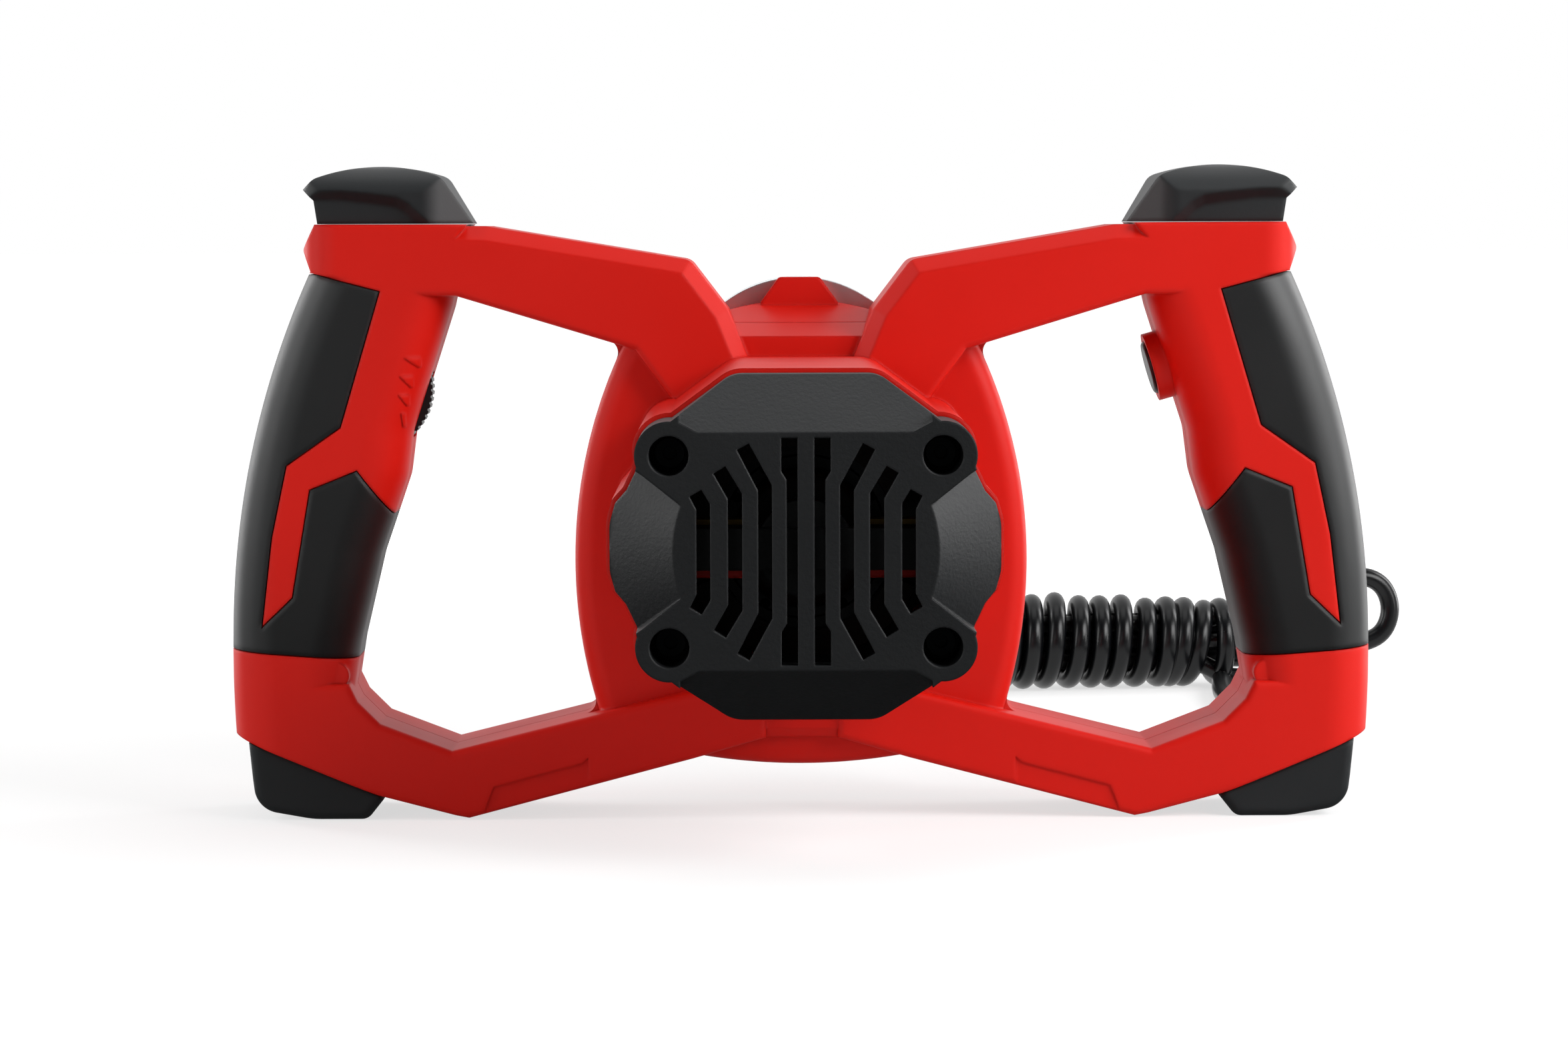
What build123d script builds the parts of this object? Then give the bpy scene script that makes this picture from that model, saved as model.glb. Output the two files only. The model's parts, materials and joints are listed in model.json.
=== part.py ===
from build123d import *
import os
from math import atan2, ceil, cos, degrees, hypot, pi, radians, sin, sqrt, tan

os.makedirs("parts", exist_ok=True)

# Power head of a hand-held paint and mortar mixer, standing on its feet.
# X runs from the left handle to the right one, Y from the vented motor cap to
# the output spindle, and Z up from the surface that the feet stand on.
# All sizes are in millimetres. Frame corners are (distance from the middle, height).

# ---------------------------------------------------------------- driving sizes
motor_z = 94.0                 # height of the motor's axis
axis_rise = 35.5               # spindle's axis above the motor's

wall = 3.0                     # red moulded shells
frame_half_depth = 22.0        # handles and arms, from the parting plane
frame_edge = 2.0               # rounding of the arms' edges
frame_bevel = 4.4              # bevel along the top of the upper arms
collar_corner = 11.0           # rounding of the collar's outer end, from above
web_radius = 4.0               # where an arm meets the drum, inside the handle's opening
sliding_gap = 0.25             # between a moving button or dial and its slot
seat_gap = 0.1                 # between a fixed piece and its seat
running_gap = 0.05             # radial, shaft in bearing

# frame outline
arm_root = (15.7, 143.0)
arm_knee = (22.6, 160.0)
arm_shoulder = (34.5, 175.6)
arm_top_end = (98.0, 186.3)
collar_top = (151.5, 187.0)
collar_tip = (155.8, 179.0)
collar_bottom = (152.9, 171.9)
window_top_outer = (107.5, 164.6)
window_top_inner = (51.7, 147.7)
arm_under_root = (33.0, 122.2)
window_low_outer = (142.2, 43.0)
window_low_corner = (139.5, 37.4)
window_low_slope = (132.5, 30.4)
window_low_vertex = (110.0, 21.8)
lower_arm_crossing = (66.4, 32.6)
lower_arm_root = (20.0, 44.0)
lower_arm_end = (11.3, 25.6)
lower_arm_rise = (34.0, 19.1)
lower_arm_vertex = (104.8, 0.5)
lower_arm_turn = (109.0, 1.3)
foot_seat_inner = (133.0, 7.6)
foot_seat_outer = (175.4, 25.2)
bumper_seat_z = 187.0

# handle: outer side as two arcs, inner side as a line of corners
handle_outer_top = (151.4, 178.0)
handle_outer_shoulder = (172.4, 119.0)
handle_outer_waist = (179.7, 60.0)
handle_outer_low = (179.3, 30.0)
handle_outer_foot = (176.8, 2.0)
handle_inner = [(142.2, 2.0), (142.2, 36.0), (139.0, 56.0), (132.6, 83.0), (124.0, 108.0),
                (122.2, 122.0), (109.6, 161.0), (106.0, 178.0)]
handle_inner_bend = 16.0
handle_corner = 14.0
grip_thickness = 2.4
grip_groove = 0.4

# drum, the middle of the frame
drum_half_width = 71.4
drum_waist_z = 83.0
drum_top_corner = (54.4, 152.0)
drum_low_corner = (63.0, 30.0)
drum_top_z = 162.2
drum_top_flat = (22.0, 159.3)
drum_bottom_z = 16.0
drum_front_y = -15.0
drum_rear_y = 28.0
drum_edge_radius = 6.0
drum_slope_z = 151.6           # where the sloped top meets the drum's front
panel_y = 1.5 - frame_half_depth   # low panel between the lower arms
panel_low_z = 25.5
panel_high_z = 46.0
panel_chamfer = 3.0
bump_half_width = 6.6
bump_base_half_width = 12.4
bump_top_z = 169.6
bump_depth = 9.0

# motor barrel and vented cap
cap_half_height = 50.0
cap_half_width = 56.5
cap_flat_half_width = 21.0
cap_lug = (39.0, 27.4)
cap_lug_radius = 9.8
cap_length = 26.0
cap_wall = 3.0
cap_plateau_half_height = 34.0
cap_plateau_radius = 38.0
cap_slope_length = 17.0
cap_hole_radius = 5.7
cap_hole_floor = 5.0
cap_corner = 9.0
cap_lobe_corner = 12.0
barrel_margin = 1.3

# air slots of the cap
slot_half_heights = (32.5, 18.4, 16.1, 13.1)
slot_inner_edges = (2.4, 9.7, 18.2, 27.3)
slot_widths = (3.1, 3.9, 4.0, 3.9)
slot_leg_ends = ((0.0, 0.0), (17.9, 30.0), (24.6, 23.4), (31.4, 16.8))
centre_slot_wide = 4.6
centre_slot_neck = 20.5

# motor
stator_radius = 42.0
stator_bore = 24.7
stator_length = 50.0
air_gap = 0.7
core_radius = stator_bore - air_gap
coil_inner = 27.5
coil_outer = 36.0
coil_overhang = 9.0
commutator_radius = 13.0
commutator_length = 15.0
brush_width = 6.3
brush_height = 10.0
brush_length = 16.0
fan_radius = 39.0
fan_length = 11.0
fan_y = -13.5
fan_blades = 14

# along Y, from the fan to the vented cap's face
fan_to_coils = 4.0
coils_to_commutator = 5.5
commutator_to_bearing = 12.5
bearing_to_face = 16.0
stator_back = fan_y - fan_length / 2 - fan_to_coils - coil_overhang
stator_front = stator_back - stator_length
stator_y = (stator_front + stator_back) / 2
commutator_y = stator_front - coil_overhang - coils_to_commutator - commutator_length / 2
cap_bearing_y = commutator_y - commutator_length / 2 - commutator_to_bearing
cap_face_y = cap_bearing_y - bearing_to_face
cap_rear_y = cap_face_y + cap_length

# bearings: bore radius, outer radius, width
cap_bearing = (4.0, 11.0, 7.0)
motor_bearing = (5.0, 13.0, 8.0)
lay_bearing = (4.0, 11.0, 7.0)
spindle_rear_bearing = (6.0, 14.0, 8.0)
spindle_nose_bearing = (10.0, 21.0, 12.0)

# gears
pressure_angle = radians(25.0)
tooth_addendum = 0.8
tooth_dedendum = 1.05
backlash = 0.16
first_module = 1.0
first_pinion_teeth = 10
first_gear_teeth = 41
second_module = 1.2
second_pinion_teeth = 10
second_gear_teeth = 56

# gearbox
gearbox_wall = 4.0
gear_lobe = (22.0, 99.0)
gear_lobe_radius = 29.0
spindle_lobe_radius = 24.0
nose_disc_radius = 40.0
flange_lobe_radius = 38.0
flange_thickness = 6.0
gear_chamber_front = 56.0
gear_chamber_end = 61.0
nose_radius = 30.0
nose_end_y = 92.0
nose_tip_radius = 26.0
plate_rear_y = 4.0
plate_front_y = 10.0

# spindle
spindle_head_radius = 13.5
spindle_flats = 22.0
spindle_head_length = 47.0
spindle_tip_y = nose_end_y + 1.0 + spindle_head_length
thread_radius = 6.0            # M14 x 2 female thread, at its core
thread_depth = 26.0

# switch, in the right handle
button_centre = (111.2, 140.9)
button_tilt = 15.8
button_radius = 8.4
button_travel = 3.5
collar_radius = 10.9
collar_reach = 13.0
button_dome = 1.0
switch_size = (20.0, 24.0, 27.0)

# speed dial, in the left handle
dial_centre = (136.5, 135.2)
dial_radius = 20.2
dial_width = 9.0
dial_knurls = 60
dial_knurl_depth = 0.5

# power cord
cord_diameter = 7.5
cord_exit = (160.0, 38.5)
sleeve_length = 42.0
sleeve_root_radius = 7.0
sleeve_tip_radius = 5.0
hank_start = (40.0, 322.0)
hank_turn = 7.0
hank_wrap_radius = 14.6
hank_wrap_length = 132.0
hank_length = 198.0
hank_bow_height = 45.0
plug_radius = 18.5
plug_body_length = 30.0
plug_neck_length = 26.0
plug_pin_radius = 2.4
plug_pin_length = 19.0
plug_pin_spread = 9.5


# ---------------------------------------------------------------- helpers
def upright(y):
    """The plane at y whose own axes are X and Z."""
    return Plane(origin=(0, y, 0), x_dir=(1, 0, 0), z_dir=(0, -1, 0))


def outline(points):
    return make_face(Polyline(*points, close=True))


def prism(face, y0, y1):
    """A flat face, drawn in X and Z, drawn out from y0 to y1."""
    return extrude(upright(y0) * face, amount=y1 - y0, dir=(0, 1, 0))


def rod(radius, y0, y1, x=0.0, z=motor_z):
    return Pos(x, (y0 + y1) / 2, z) * Rot(90, 0, 0) * Cylinder(radius, abs(y1 - y0))


def tube(outer, inner, y0, y1, x=0.0, z=motor_z):
    return rod(outer, y0, y1, x, z) - rod(inner, y0 - 1, y1 + 1, x, z)


def cone(r0, r1, y0, y1, x=0.0, z=motor_z):
    """A cone along Y, of radius r0 at y0 and r1 at y1."""
    return Pos(x, (y0 + y1) / 2, z) * Rot(-90, 0, 0) * Cone(r0, r1, y1 - y0)


def block(x0, x1, y0, y1, z0, z1):
    return Pos((x0 + x1) / 2, (y0 + y1) / 2, (z0 + z1) / 2) * Box(x1 - x0, y1 - y0, z1 - z0)


def left(piece):
    return mirror(piece, about=Plane.YZ)


def both(piece):
    return piece + left(piece)


def bevel_wedge(start, end, y0, y1, size):
    """What a bevel takes off the two long edges of a run, whose solid lies to its right."""
    run = Vector(*end) - Vector(*start)
    angle = degrees(atan2(run.Y, run.X))
    bars = [Pos(run.length / 2, 0, y) * Rot(45, 0, 0) * Box(
        run.length + size, size * sqrt(2), size * sqrt(2)) for y in (y0, y1)]
    return [Plane(origin=(start[0], 0, start[1]), x_dir=(cos(radians(angle)), 0, sin(radians(angle))),
                  z_dir=(0, 1, 0)) * bar for bar in bars]


def softened(face, y0, y1, size, bevelled=()):
    """A prism with the edges of its two faces rounded, and a bevel along some of its runs."""
    solid = prism(face, y0, y1)
    rims = solid.edges().filter_by_position(Axis.Y, y0 - 0.01, y0 + 0.01)
    rims += solid.edges().filter_by_position(Axis.Y, y1 - 0.01, y1 + 0.01)
    solid = fillet(rims, size)
    for start, end in zip(bevelled, bevelled[1:]):
        for bar in bevel_wedge(start, end, y0, y1, frame_bevel):
            solid -= bar
    return solid


def save(piece, name):
    export_step(piece, f"parts/{name}.step")


def save_group(pieces, name):
    export_step(Compound(children=[solid for piece in pieces for solid in piece.solids()]),
                f"parts/{name}.step")


# ---------------------------------------------------------------- red frame
upper_arm = outline([
    arm_root, arm_knee, arm_shoulder, arm_top_end, (131.0, bumper_seat_z - 0.4),
    (131.0, window_top_outer[1]), window_top_outer, window_top_inner, arm_under_root,
    (arm_root[0], arm_under_root[1])])
upper_arm = fillet(upper_arm.vertices().sort_by_distance(Vector(*arm_shoulder))[0], 5.0)
lower_arm = outline([
    lower_arm_end, lower_arm_rise, lower_arm_vertex, lower_arm_turn,
    (165.0, lower_arm_turn[1] + 14.7), (165.0, window_low_outer[1]), window_low_outer,
    window_low_corner, window_low_slope, window_low_vertex, lower_arm_crossing,
    lower_arm_root, (lower_arm_end[0], lower_arm_root[1])])
collar = outline([
    (104.0, bumper_seat_z - 0.1), (collar_top[0], bumper_seat_z), collar_tip, collar_bottom,
    (131.5, 167.4), (120.0, 167.4)])
arms = [softened(upper_arm, -frame_half_depth, frame_half_depth, frame_edge,
                 [arm_root, arm_knee, arm_shoulder, arm_top_end, (131.0, bumper_seat_z)]),
        softened(lower_arm, -frame_half_depth, frame_half_depth, frame_edge)]
collar_plan = Rectangle(2 * (collar_tip[0] - 80.0), 2 * frame_half_depth)
collar_plan = fillet(collar_plan.vertices(), collar_corner)
arms.append(softened(collar, -frame_half_depth, frame_half_depth, 1.0)
            & Pos(80.0, 0, 100.0) * extrude(collar_plan, amount=200.0))


handle_side = make_face([
    ThreePointArc(handle_outer_top, handle_outer_shoulder, handle_outer_waist),
    ThreePointArc(handle_outer_waist, handle_outer_low, handle_outer_foot),
    Polyline(handle_outer_foot, *handle_inner, handle_outer_top)])
handle_side = fillet([v for v in handle_side.vertices()
                      if (v.X, v.Y) in handle_inner[1:-1]], handle_inner_bend)


def handle_body(inset):
    """The handle's smooth body, with every side moved in by the inset."""
    side = offset(handle_side, amount=-inset, kind=Kind.INTERSECTION) if inset else handle_side
    depth = frame_half_depth - inset
    solid = prism(side, -depth, depth)
    ends = side.bounding_box()
    rims = [edge for edge in solid.edges().filter_by(Axis.Y, reverse=True)
            if ends.min.Y + 0.1 < edge.center().Z < ends.max.Y - 0.1]
    return fillet(rims, handle_corner - inset)


seat_slope = ((foot_seat_outer[1] - foot_seat_inner[1])
              / (foot_seat_outer[0] - foot_seat_inner[0]))


def seat_height(x):
    """Height of the slanted seat of a foot."""
    return foot_seat_inner[1] + (x - foot_seat_inner[0]) * seat_slope


foot_cut = prism(outline([
    foot_seat_inner, (200.0, seat_height(200.0)), (200.0, -40.0), (120.0, -40.0),
    (120.0, seat_height(120.0) - 3)]), -60, 60)

# the overmoulded grip covers this part of the handle, seen from either side
grip_area = outline([
    (200.0, 173.4), (151.2, 171.2), (131.5, 166.0), (144.1, 123.8), (161.1, 111.9),
    (166.0, 89.1), (169.4, 60.6), (159.3, 70.3), (153.5, 104.1), (139.0, 109.9),
    (122.0, 87.2), (105.0, 64.6), (105.0, 48.2), (200.0, 55.4)])
grip_zone = prism(grip_area, -60, 60)
grip_recess = prism(offset(grip_area, amount=grip_groove, kind=Kind.INTERSECTION), -60, 60)
full_handle = handle_body(0)
grip = (full_handle & grip_zone) - handle_body(grip_thickness - seat_gap)
handle = (full_handle - grip_recess) + handle_body(grip_thickness)
handle = handle - block(90, 200, -60, 60, bumper_seat_z - 12, 260)

drum_face = make_face([
    ThreePointArc(drum_low_corner, (drum_half_width, drum_waist_z), drum_top_corner),
    Line(drum_top_corner, drum_top_flat),
    ThreePointArc(drum_top_flat, (0, drum_top_z), (-drum_top_flat[0], drum_top_flat[1])),
    Line((-drum_top_flat[0], drum_top_flat[1]), (-drum_top_corner[0], drum_top_corner[1])),
    ThreePointArc((-drum_top_corner[0], drum_top_corner[1]), (-drum_half_width, drum_waist_z),
                  (-drum_low_corner[0], drum_low_corner[1])),
    Line((-drum_low_corner[0], drum_low_corner[1]), (-lower_arm_rise[0], lower_arm_rise[1])),
    ThreePointArc((-lower_arm_rise[0], lower_arm_rise[1]), (0, drum_bottom_z), lower_arm_rise),
    Line(lower_arm_rise, drum_low_corner),
])
drum = prism(drum_face, drum_front_y, drum_rear_y)
drum = fillet(drum.edges().filter_by_position(Axis.Y, drum_front_y - 0.01, drum_front_y + 0.01),
              drum_edge_radius)
slope_run = drum_rear_y - 3.0 - drum_front_y
slope = Plane.YZ * outline([
    (drum_front_y - 10, drum_slope_z - 10 * (drum_top_z - drum_slope_z) / slope_run),
    (drum_rear_y - 3.0, drum_top_z), (drum_rear_y - 3.0, 200.0), (drum_front_y - 10, 200.0)])
drum = drum - extrude(slope, amount=80, both=True)
panel = block(-lower_arm_end[0] - 1, lower_arm_end[0] + 1, panel_y, 0, panel_low_z, panel_high_z)
panel = chamfer(panel.edges().filter_by(Axis.X).sort_by(Axis.Y)[:2].sort_by(Axis.Z)[:1],
                panel_chamfer)
bump = prism(outline([
    (-bump_base_half_width, drum_top_z - 4), (bump_base_half_width, drum_top_z - 4),
    (bump_base_half_width, drum_top_z - 0.6), (bump_half_width, bump_top_z),
    (-bump_half_width, bump_top_z), (-bump_base_half_width, drum_top_z - 0.6)]),
    drum_rear_y - bump_depth, drum_rear_y)
bump = fillet(bump.edges().filter_by(Axis.Y).sort_by(Axis.Z)[-2:], 1.8)


def cap_face(margin):
    """The outline that the cap and the barrel share, moved out by a margin."""
    side = [
        (cap_flat_half_width, cap_half_height), (cap_lug[0] - 0.6, cap_lug[1] + cap_lug_radius),
        (cap_lug[0] + 8.0, cap_lug[1] + 2.0), (cap_half_width - 7.8, 22.4),
        (cap_half_width - 4.8, 16.2), (cap_half_width - 1.6, 12.6), (cap_half_width, 7.0)]
    right = side + [(x, -z) for x, z in reversed(side)]
    ring = right + [(-x, -z) for x, z in right]
    face = outline([(x, z + motor_z) for x, z in ring])
    for reach, rise, radius in ((cap_flat_half_width, cap_half_height, cap_corner),
                                (cap_half_width, 7.0, cap_lobe_corner)):
        corners = [v for v in face.vertices()
                   if abs(abs(v.X) - reach) < 0.01 and abs(abs(v.Y - motor_z) - rise) < 0.01]
        face = fillet(corners, radius)
    for sx in (-1, 1):
        for sz in (-1, 1):
            face += Pos(sx * cap_lug[0], motor_z + sz * cap_lug[1]) * Circle(cap_lug_radius)
    return offset(face, amount=margin, kind=Kind.INTERSECTION) if margin else face


barrel = prism(cap_face(barrel_margin), cap_rear_y, drum_front_y + 6)
barrel_hollow = prism(offset(cap_face(0), amount=barrel_margin - wall, kind=Kind.INTERSECTION),
                      cap_rear_y - 1, drum_front_y + 8)
stator_bed = stator_radius + seat_gap
ribs = None
for turn in (22.5, 67.5, 112.5, 157.5):
    rib = Rot(0, turn, 0) * Box(150, stator_length + 8, 2.5)
    rib = Pos(0, stator_y, motor_z) * rib
    ribs = rib if ribs is None else ribs + rib
ribs = ribs & barrel_hollow
lugs = None
for sx in (-1, 1):
    for sz in (-1, 1):
        lug = rod(cap_lug_radius - 1.2, cap_rear_y, stator_front + 8,
                  sx * cap_lug[0], motor_z + sz * cap_lug[1])
        lugs = lug if lugs is None else lugs + lug
brush_beds = None
for sx in (-1, 1):
    bed = block(18, 60, commutator_y - 5.5, commutator_y + 5.5,
                motor_z - brush_height / 2 - 5.1, motor_z - brush_height / 2 - 2.1)
    bed = bed if sx > 0 else left(bed)
    brush_beds = bed if brush_beds is None else brush_beds + bed
barrel_inside = (ribs + lugs + brush_beds) & prism(cap_face(0), cap_rear_y, drum_front_y)
barrel_inside = barrel_inside - rod(stator_bed, stator_front - 3, drum_front_y + 10)
barrel_inside = barrel_inside - rod(commutator_radius + 3, cap_rear_y - 1, stator_front)
barrel_inside = barrel_inside - rod(coil_outer + 1, stator_front - coil_overhang - 2, stator_front)
barrel_shell = barrel - barrel_hollow + barrel_inside

drum_hollow = prism(offset(drum_face, amount=-wall, kind=Kind.INTERSECTION),
                    drum_front_y + wall, drum_rear_y - wall)
slope_drop = wall * (1 + (drum_top_z - drum_slope_z) / slope_run)
slope_under = Plane.YZ * outline([
    (drum_front_y - 10, drum_slope_z - slope_drop - 10 * (drum_top_z - drum_slope_z) / slope_run),
    (drum_rear_y - 3.0, drum_top_z - slope_drop), (drum_rear_y - 3.0, 200.0),
    (drum_front_y - 10, 200.0)])
drum_hollow = drum_hollow - extrude(slope_under, amount=80, both=True)
arm_hollows = [prism(offset(shape, amount=-wall - 0.6, kind=Kind.INTERSECTION),
                     -frame_half_depth + wall, frame_half_depth - wall)
               for shape in (upper_arm, lower_arm)]
handle_hollow_low = 29.5
handle_hollow = handle_body(grip_thickness + wall) & block(90, 200, -60, 60, handle_hollow_low, 170)

drum_side = ThreePointArc(drum_low_corner, (drum_half_width, drum_waist_z), drum_top_corner)


def web(start, end, up):
    """A round web in the corner between an arm's edge and the drum's side."""
    corner = Vector(*start)
    along = (Vector(*end) - corner).normalized()
    centre = drum_side.arc_center
    for _ in range(20):
        height = corner.Y - centre.Y
        gap = centre.X + sqrt(drum_side.radius ** 2 - height ** 2) - corner.X
        corner = corner + along * gap
    side = Vector(-(corner.Y - centre.Y), corner.X - centre.X).normalized() * up
    middle = (along + side).normalized()
    half = radians(along.get_angle(side)) / 2
    reach = web_radius / tan(half)
    hub = corner + middle * web_radius / sin(half)
    edge_end = corner + along * reach
    side_end = corner + side * reach
    face = outline([(p.X, p.Y) for p in (
        edge_end, hub, side_end, side_end - middle, corner - middle * 1.5, edge_end - middle)])
    return prism(face - Pos(hub.X, hub.Y) * Circle(web_radius), drum_front_y + drum_edge_radius,
                 frame_half_depth - frame_edge)


webs = web(window_top_inner, window_top_outer, -1) + web(lower_arm_crossing, window_low_vertex, 1)
right = drum + panel + bump
right = right & block(0, 300, -60, 60, -10, 260)
right = right + arms[0] + arms[1] + arms[2] + handle + webs - foot_cut
right = right - drum_hollow - arm_hollows[0] - arm_hollows[1] - handle_hollow
right = right - prism(cap_face(barrel_margin - wall), drum_front_y - 20, drum_front_y + wall)

# screws that close the frame: bosses across the parting plane, heads in the rear shell
grip_screw = (163.2, 101.0)    # in the strip of red between the grip's two pads
frame_screws = [(124.0, 172.0), (72.0, 168.0), (44.0, 160.0), grip_screw, (146.5, 45.5),
                (126.0, 17.0), (88.0, 16.0)]
screw_radius = 2.0
screw_boss_radius = 4.2
screw_head_radius = 3.6
screw_head_length = 3.0
screw_head_y = frame_half_depth - 9.0
screw_tip_y = -screw_head_y
screw_clearance = 0.3
boss_end = frame_half_depth - wall + 0.3
seam = 0.2                     # the hairline between the two shells
label_depth = 0.6
label_area = outline([(97.0, 10.4), (69.3, 17.7), (67.2, 19.6), (67.2, 8.0), (101.4, -1.0)])
right -= prism(label_area, -frame_half_depth - 1, -frame_half_depth + label_depth)

for x, z in frame_screws:
    reach = boss_end if (x, z) != grip_screw else boss_end - grip_thickness
    right += rod(screw_boss_radius, -reach, reach, x, z)
    right -= rod(screw_radius + screw_clearance, screw_tip_y - 1, frame_half_depth, x, z)
    right -= rod(screw_head_radius + screw_clearance, screw_head_y, frame_half_depth + 1, x, z)

front_half = right & block(-1, 300, -60, -seam / 2, -10, 260)
rear_half = right & block(-1, 300, seam / 2, 60, -10, 260)
motor_side = front_half + left(front_half) + barrel_shell
gear_side = rear_half + left(rear_half)
frame_screw_set = []
for x, z in frame_screws:
    screw = rod(screw_radius, screw_tip_y, screw_head_y, x, z)
    screw += rod(screw_head_radius, screw_head_y + seat_gap, screw_head_y + screw_head_length, x, z)
    screw -= rod(1.4, screw_head_y + screw_head_length - 1.6, screw_head_y + 10, x, z)
    frame_screw_set += [screw, left(screw)]


# ---------------------------------------------------------------- vented motor cap
def at_axis(points):
    """Points given from the motor's axis, as points in X and Z."""
    return [(x, z + motor_z) for x, z in points]


def slot_outline(number):
    """One air slot right of the middle, straight in its middle and splayed at its ends."""
    inner = slot_inner_edges[number]
    outer = inner + slot_widths[number]
    half = slot_half_heights[number]
    if number == 0:
        wide = inner + centre_slot_wide
        neck = centre_slot_neck + 2.4
        side = [(outer, centre_slot_neck), (wide, neck), (wide, half), (inner, half)]
    else:
        end_x, end_z = slot_leg_ends[number]
        run_x = end_x - (inner + outer) / 2
        run_z = end_z - half
        run = hypot(run_x, run_z)
        across_x = run_z / run * slot_widths[number] / 2
        across_z = -run_x / run * slot_widths[number] / 2
        side = [(outer, half - 1.0), (end_x + across_x, end_z + across_z),
                (end_x - across_x, end_z - across_z), (inner, half + 0.6)]
    return side + [(x, -z) for x, z in reversed(side)]


cap = prism(cap_face(0), cap_face_y, cap_rear_y)
slope_end_y = cap_face_y + cap_slope_length
rise = (cap_half_height - cap_plateau_half_height) / cap_slope_length
top_wedge = Plane.YZ * outline([
    (cap_face_y - 2, motor_z + cap_plateau_half_height - 2 * rise),
    (slope_end_y, motor_z + cap_half_height), (slope_end_y, motor_z + 80),
    (cap_face_y - 2, motor_z + 80)])
ridge = [(17.0, cap_plateau_half_height - 4), (25.0, 29.9), (30.3, 33.9), (36.0, 37.0), (36.0, 60.0)]
top_area = outline(at_axis(ridge + [(-x, z) for x, z in reversed(ridge)]))
top_cut = extrude(top_wedge, amount=60, both=True) & prism(top_area, cap_face_y - 1, cap_rear_y)
side_ring = rod(80, cap_face_y - 1, slope_end_y)
side_ring -= cone(cap_plateau_radius, cap_half_width, cap_face_y, slope_end_y)
side_ring -= rod(cap_plateau_radius, cap_face_y - 2, cap_face_y + 0.01)
side_area = outline(at_axis([(30.0, 9.5), (36.0, 13.5), (46.5, 21.8), (60.0, 31.0), (60.0, -31.0),
                             (46.5, -21.8), (36.0, -13.5), (30.0, -9.5)]))
side_cut = side_ring & prism(side_area, cap_face_y - 1, cap_rear_y)
upside_down = Plane(origin=(0, 0, motor_z), z_dir=(0, 0, 1))
cap = cap - top_cut - mirror(top_cut, about=upside_down) - both(side_cut)
hollow_half_width = 34.0
hollow_corner = [(hollow_half_width, 17.0), (22.5, 32.0)]
hollow = outline(at_axis(
    hollow_corner + [(-x, z) for x, z in reversed(hollow_corner)]
    + [(-x, -z) for x, z in hollow_corner] + [(x, -z) for x, z in reversed(hollow_corner)]))
cap -= prism(hollow, cap_face_y + cap_wall, cap_rear_y + 1)
for number in range(4):
    cap -= both(prism(outline(at_axis(slot_outline(number))), cap_face_y - 1,
                      cap_face_y + cap_wall + 1))
bridge_half_height = 6.0
bridge_front = cap_face_y + cap_wall + 5.5
cap += block(-hollow_half_width - 1, hollow_half_width + 1, bridge_front, cap_rear_y - 2,
             motor_z - bridge_half_height, motor_z + bridge_half_height)
cap += rod(cap_bearing[1] + 3, cap_bearing_y - 2.5, cap_rear_y - 2)
cap -= rod(cap_bearing[1] + seat_gap, cap_bearing_y, cap_rear_y + 1)
cap -= rod(cap_bearing[0] + 2, cap_bearing_y - 1.5, cap_rear_y)
cap_screw_radius = 2.5
cap_head_radius = 4.25
cap_head_length = 4.5
cap_screw_grip = 22.0          # how far a cap screw reaches into the barrel
cap_screw_tip = cap_rear_y + cap_screw_grip
cap_screw_set = []
cap_head_y = cap_rear_y - cap_hole_floor
for sx in (-1, 1):
    for sz in (-1, 1):
        x, z = sx * cap_lug[0], motor_z + sz * cap_lug[1]
        cap -= rod(cap_hole_radius, cap_face_y - 1, cap_head_y, x, z)
        cap -= rod(cap_screw_radius + seat_gap, cap_head_y - 1, cap_rear_y + 1, x, z)
        motor_side -= rod(cap_screw_radius + seat_gap, cap_rear_y - 1, cap_screw_tip + 1, x, z)
        screw = rod(cap_screw_radius, cap_head_y, cap_screw_tip, x, z)
        screw += rod(cap_head_radius, cap_head_y - cap_head_length, cap_head_y, x, z)
        screw -= rod(2.0, cap_head_y - cap_head_length - 1, cap_head_y - 2, x, z)
        cap_screw_set.append(screw)

# ---------------------------------------------------------------- motor
spindle_z = motor_z + axis_rise
lay_reach = first_module * (first_pinion_teeth + first_gear_teeth) / 2
mesh_reach = second_module * (second_pinion_teeth + second_gear_teeth) / 2
lay_rise = (lay_reach ** 2 + axis_rise ** 2 - mesh_reach ** 2) / (2 * axis_rise)
lay_x = sqrt(lay_reach ** 2 - lay_rise ** 2)
lay_z = motor_z + lay_rise


def involute(angle):
    return tan(angle) - angle


def gear_face(module, teeth, facing, gap_faces):
    """A spur gear's outline with a tooth, or a gap, facing the given angle in X and Z."""
    pitch = module * teeth / 2
    base = pitch * cos(pressure_angle)
    tip = pitch + tooth_addendum * module
    root = pitch - tooth_dedendum * module
    half_tooth = pi / (2 * teeth) - backlash / (4 * pitch) + involute(pressure_angle)
    start = max(base, root)
    flank = [(start + (tip - start) * step / 3) for step in range(4)]
    side = [(r, half_tooth - involute(atan2(sqrt(r * r - base * base), base))) for r in flank]
    if root < base:
        side = [(root, side[0][1])] + side
    points = []
    for number in range(teeth):
        middle = facing + (2 * number + (1 if gap_faces else 0)) * pi / teeth
        for r, spread in side:
            points.append((r * cos(middle - spread), r * sin(middle - spread)))
        for r, spread in reversed(side):
            points.append((r * cos(middle + spread), r * sin(middle + spread)))
    return outline(points)


def gear(module, teeth, facing, gap_faces, y0, y1, x, z):
    return Pos(x, 0, z) * prism(gear_face(module, teeth, facing, gap_faces), y0, y1)


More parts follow.
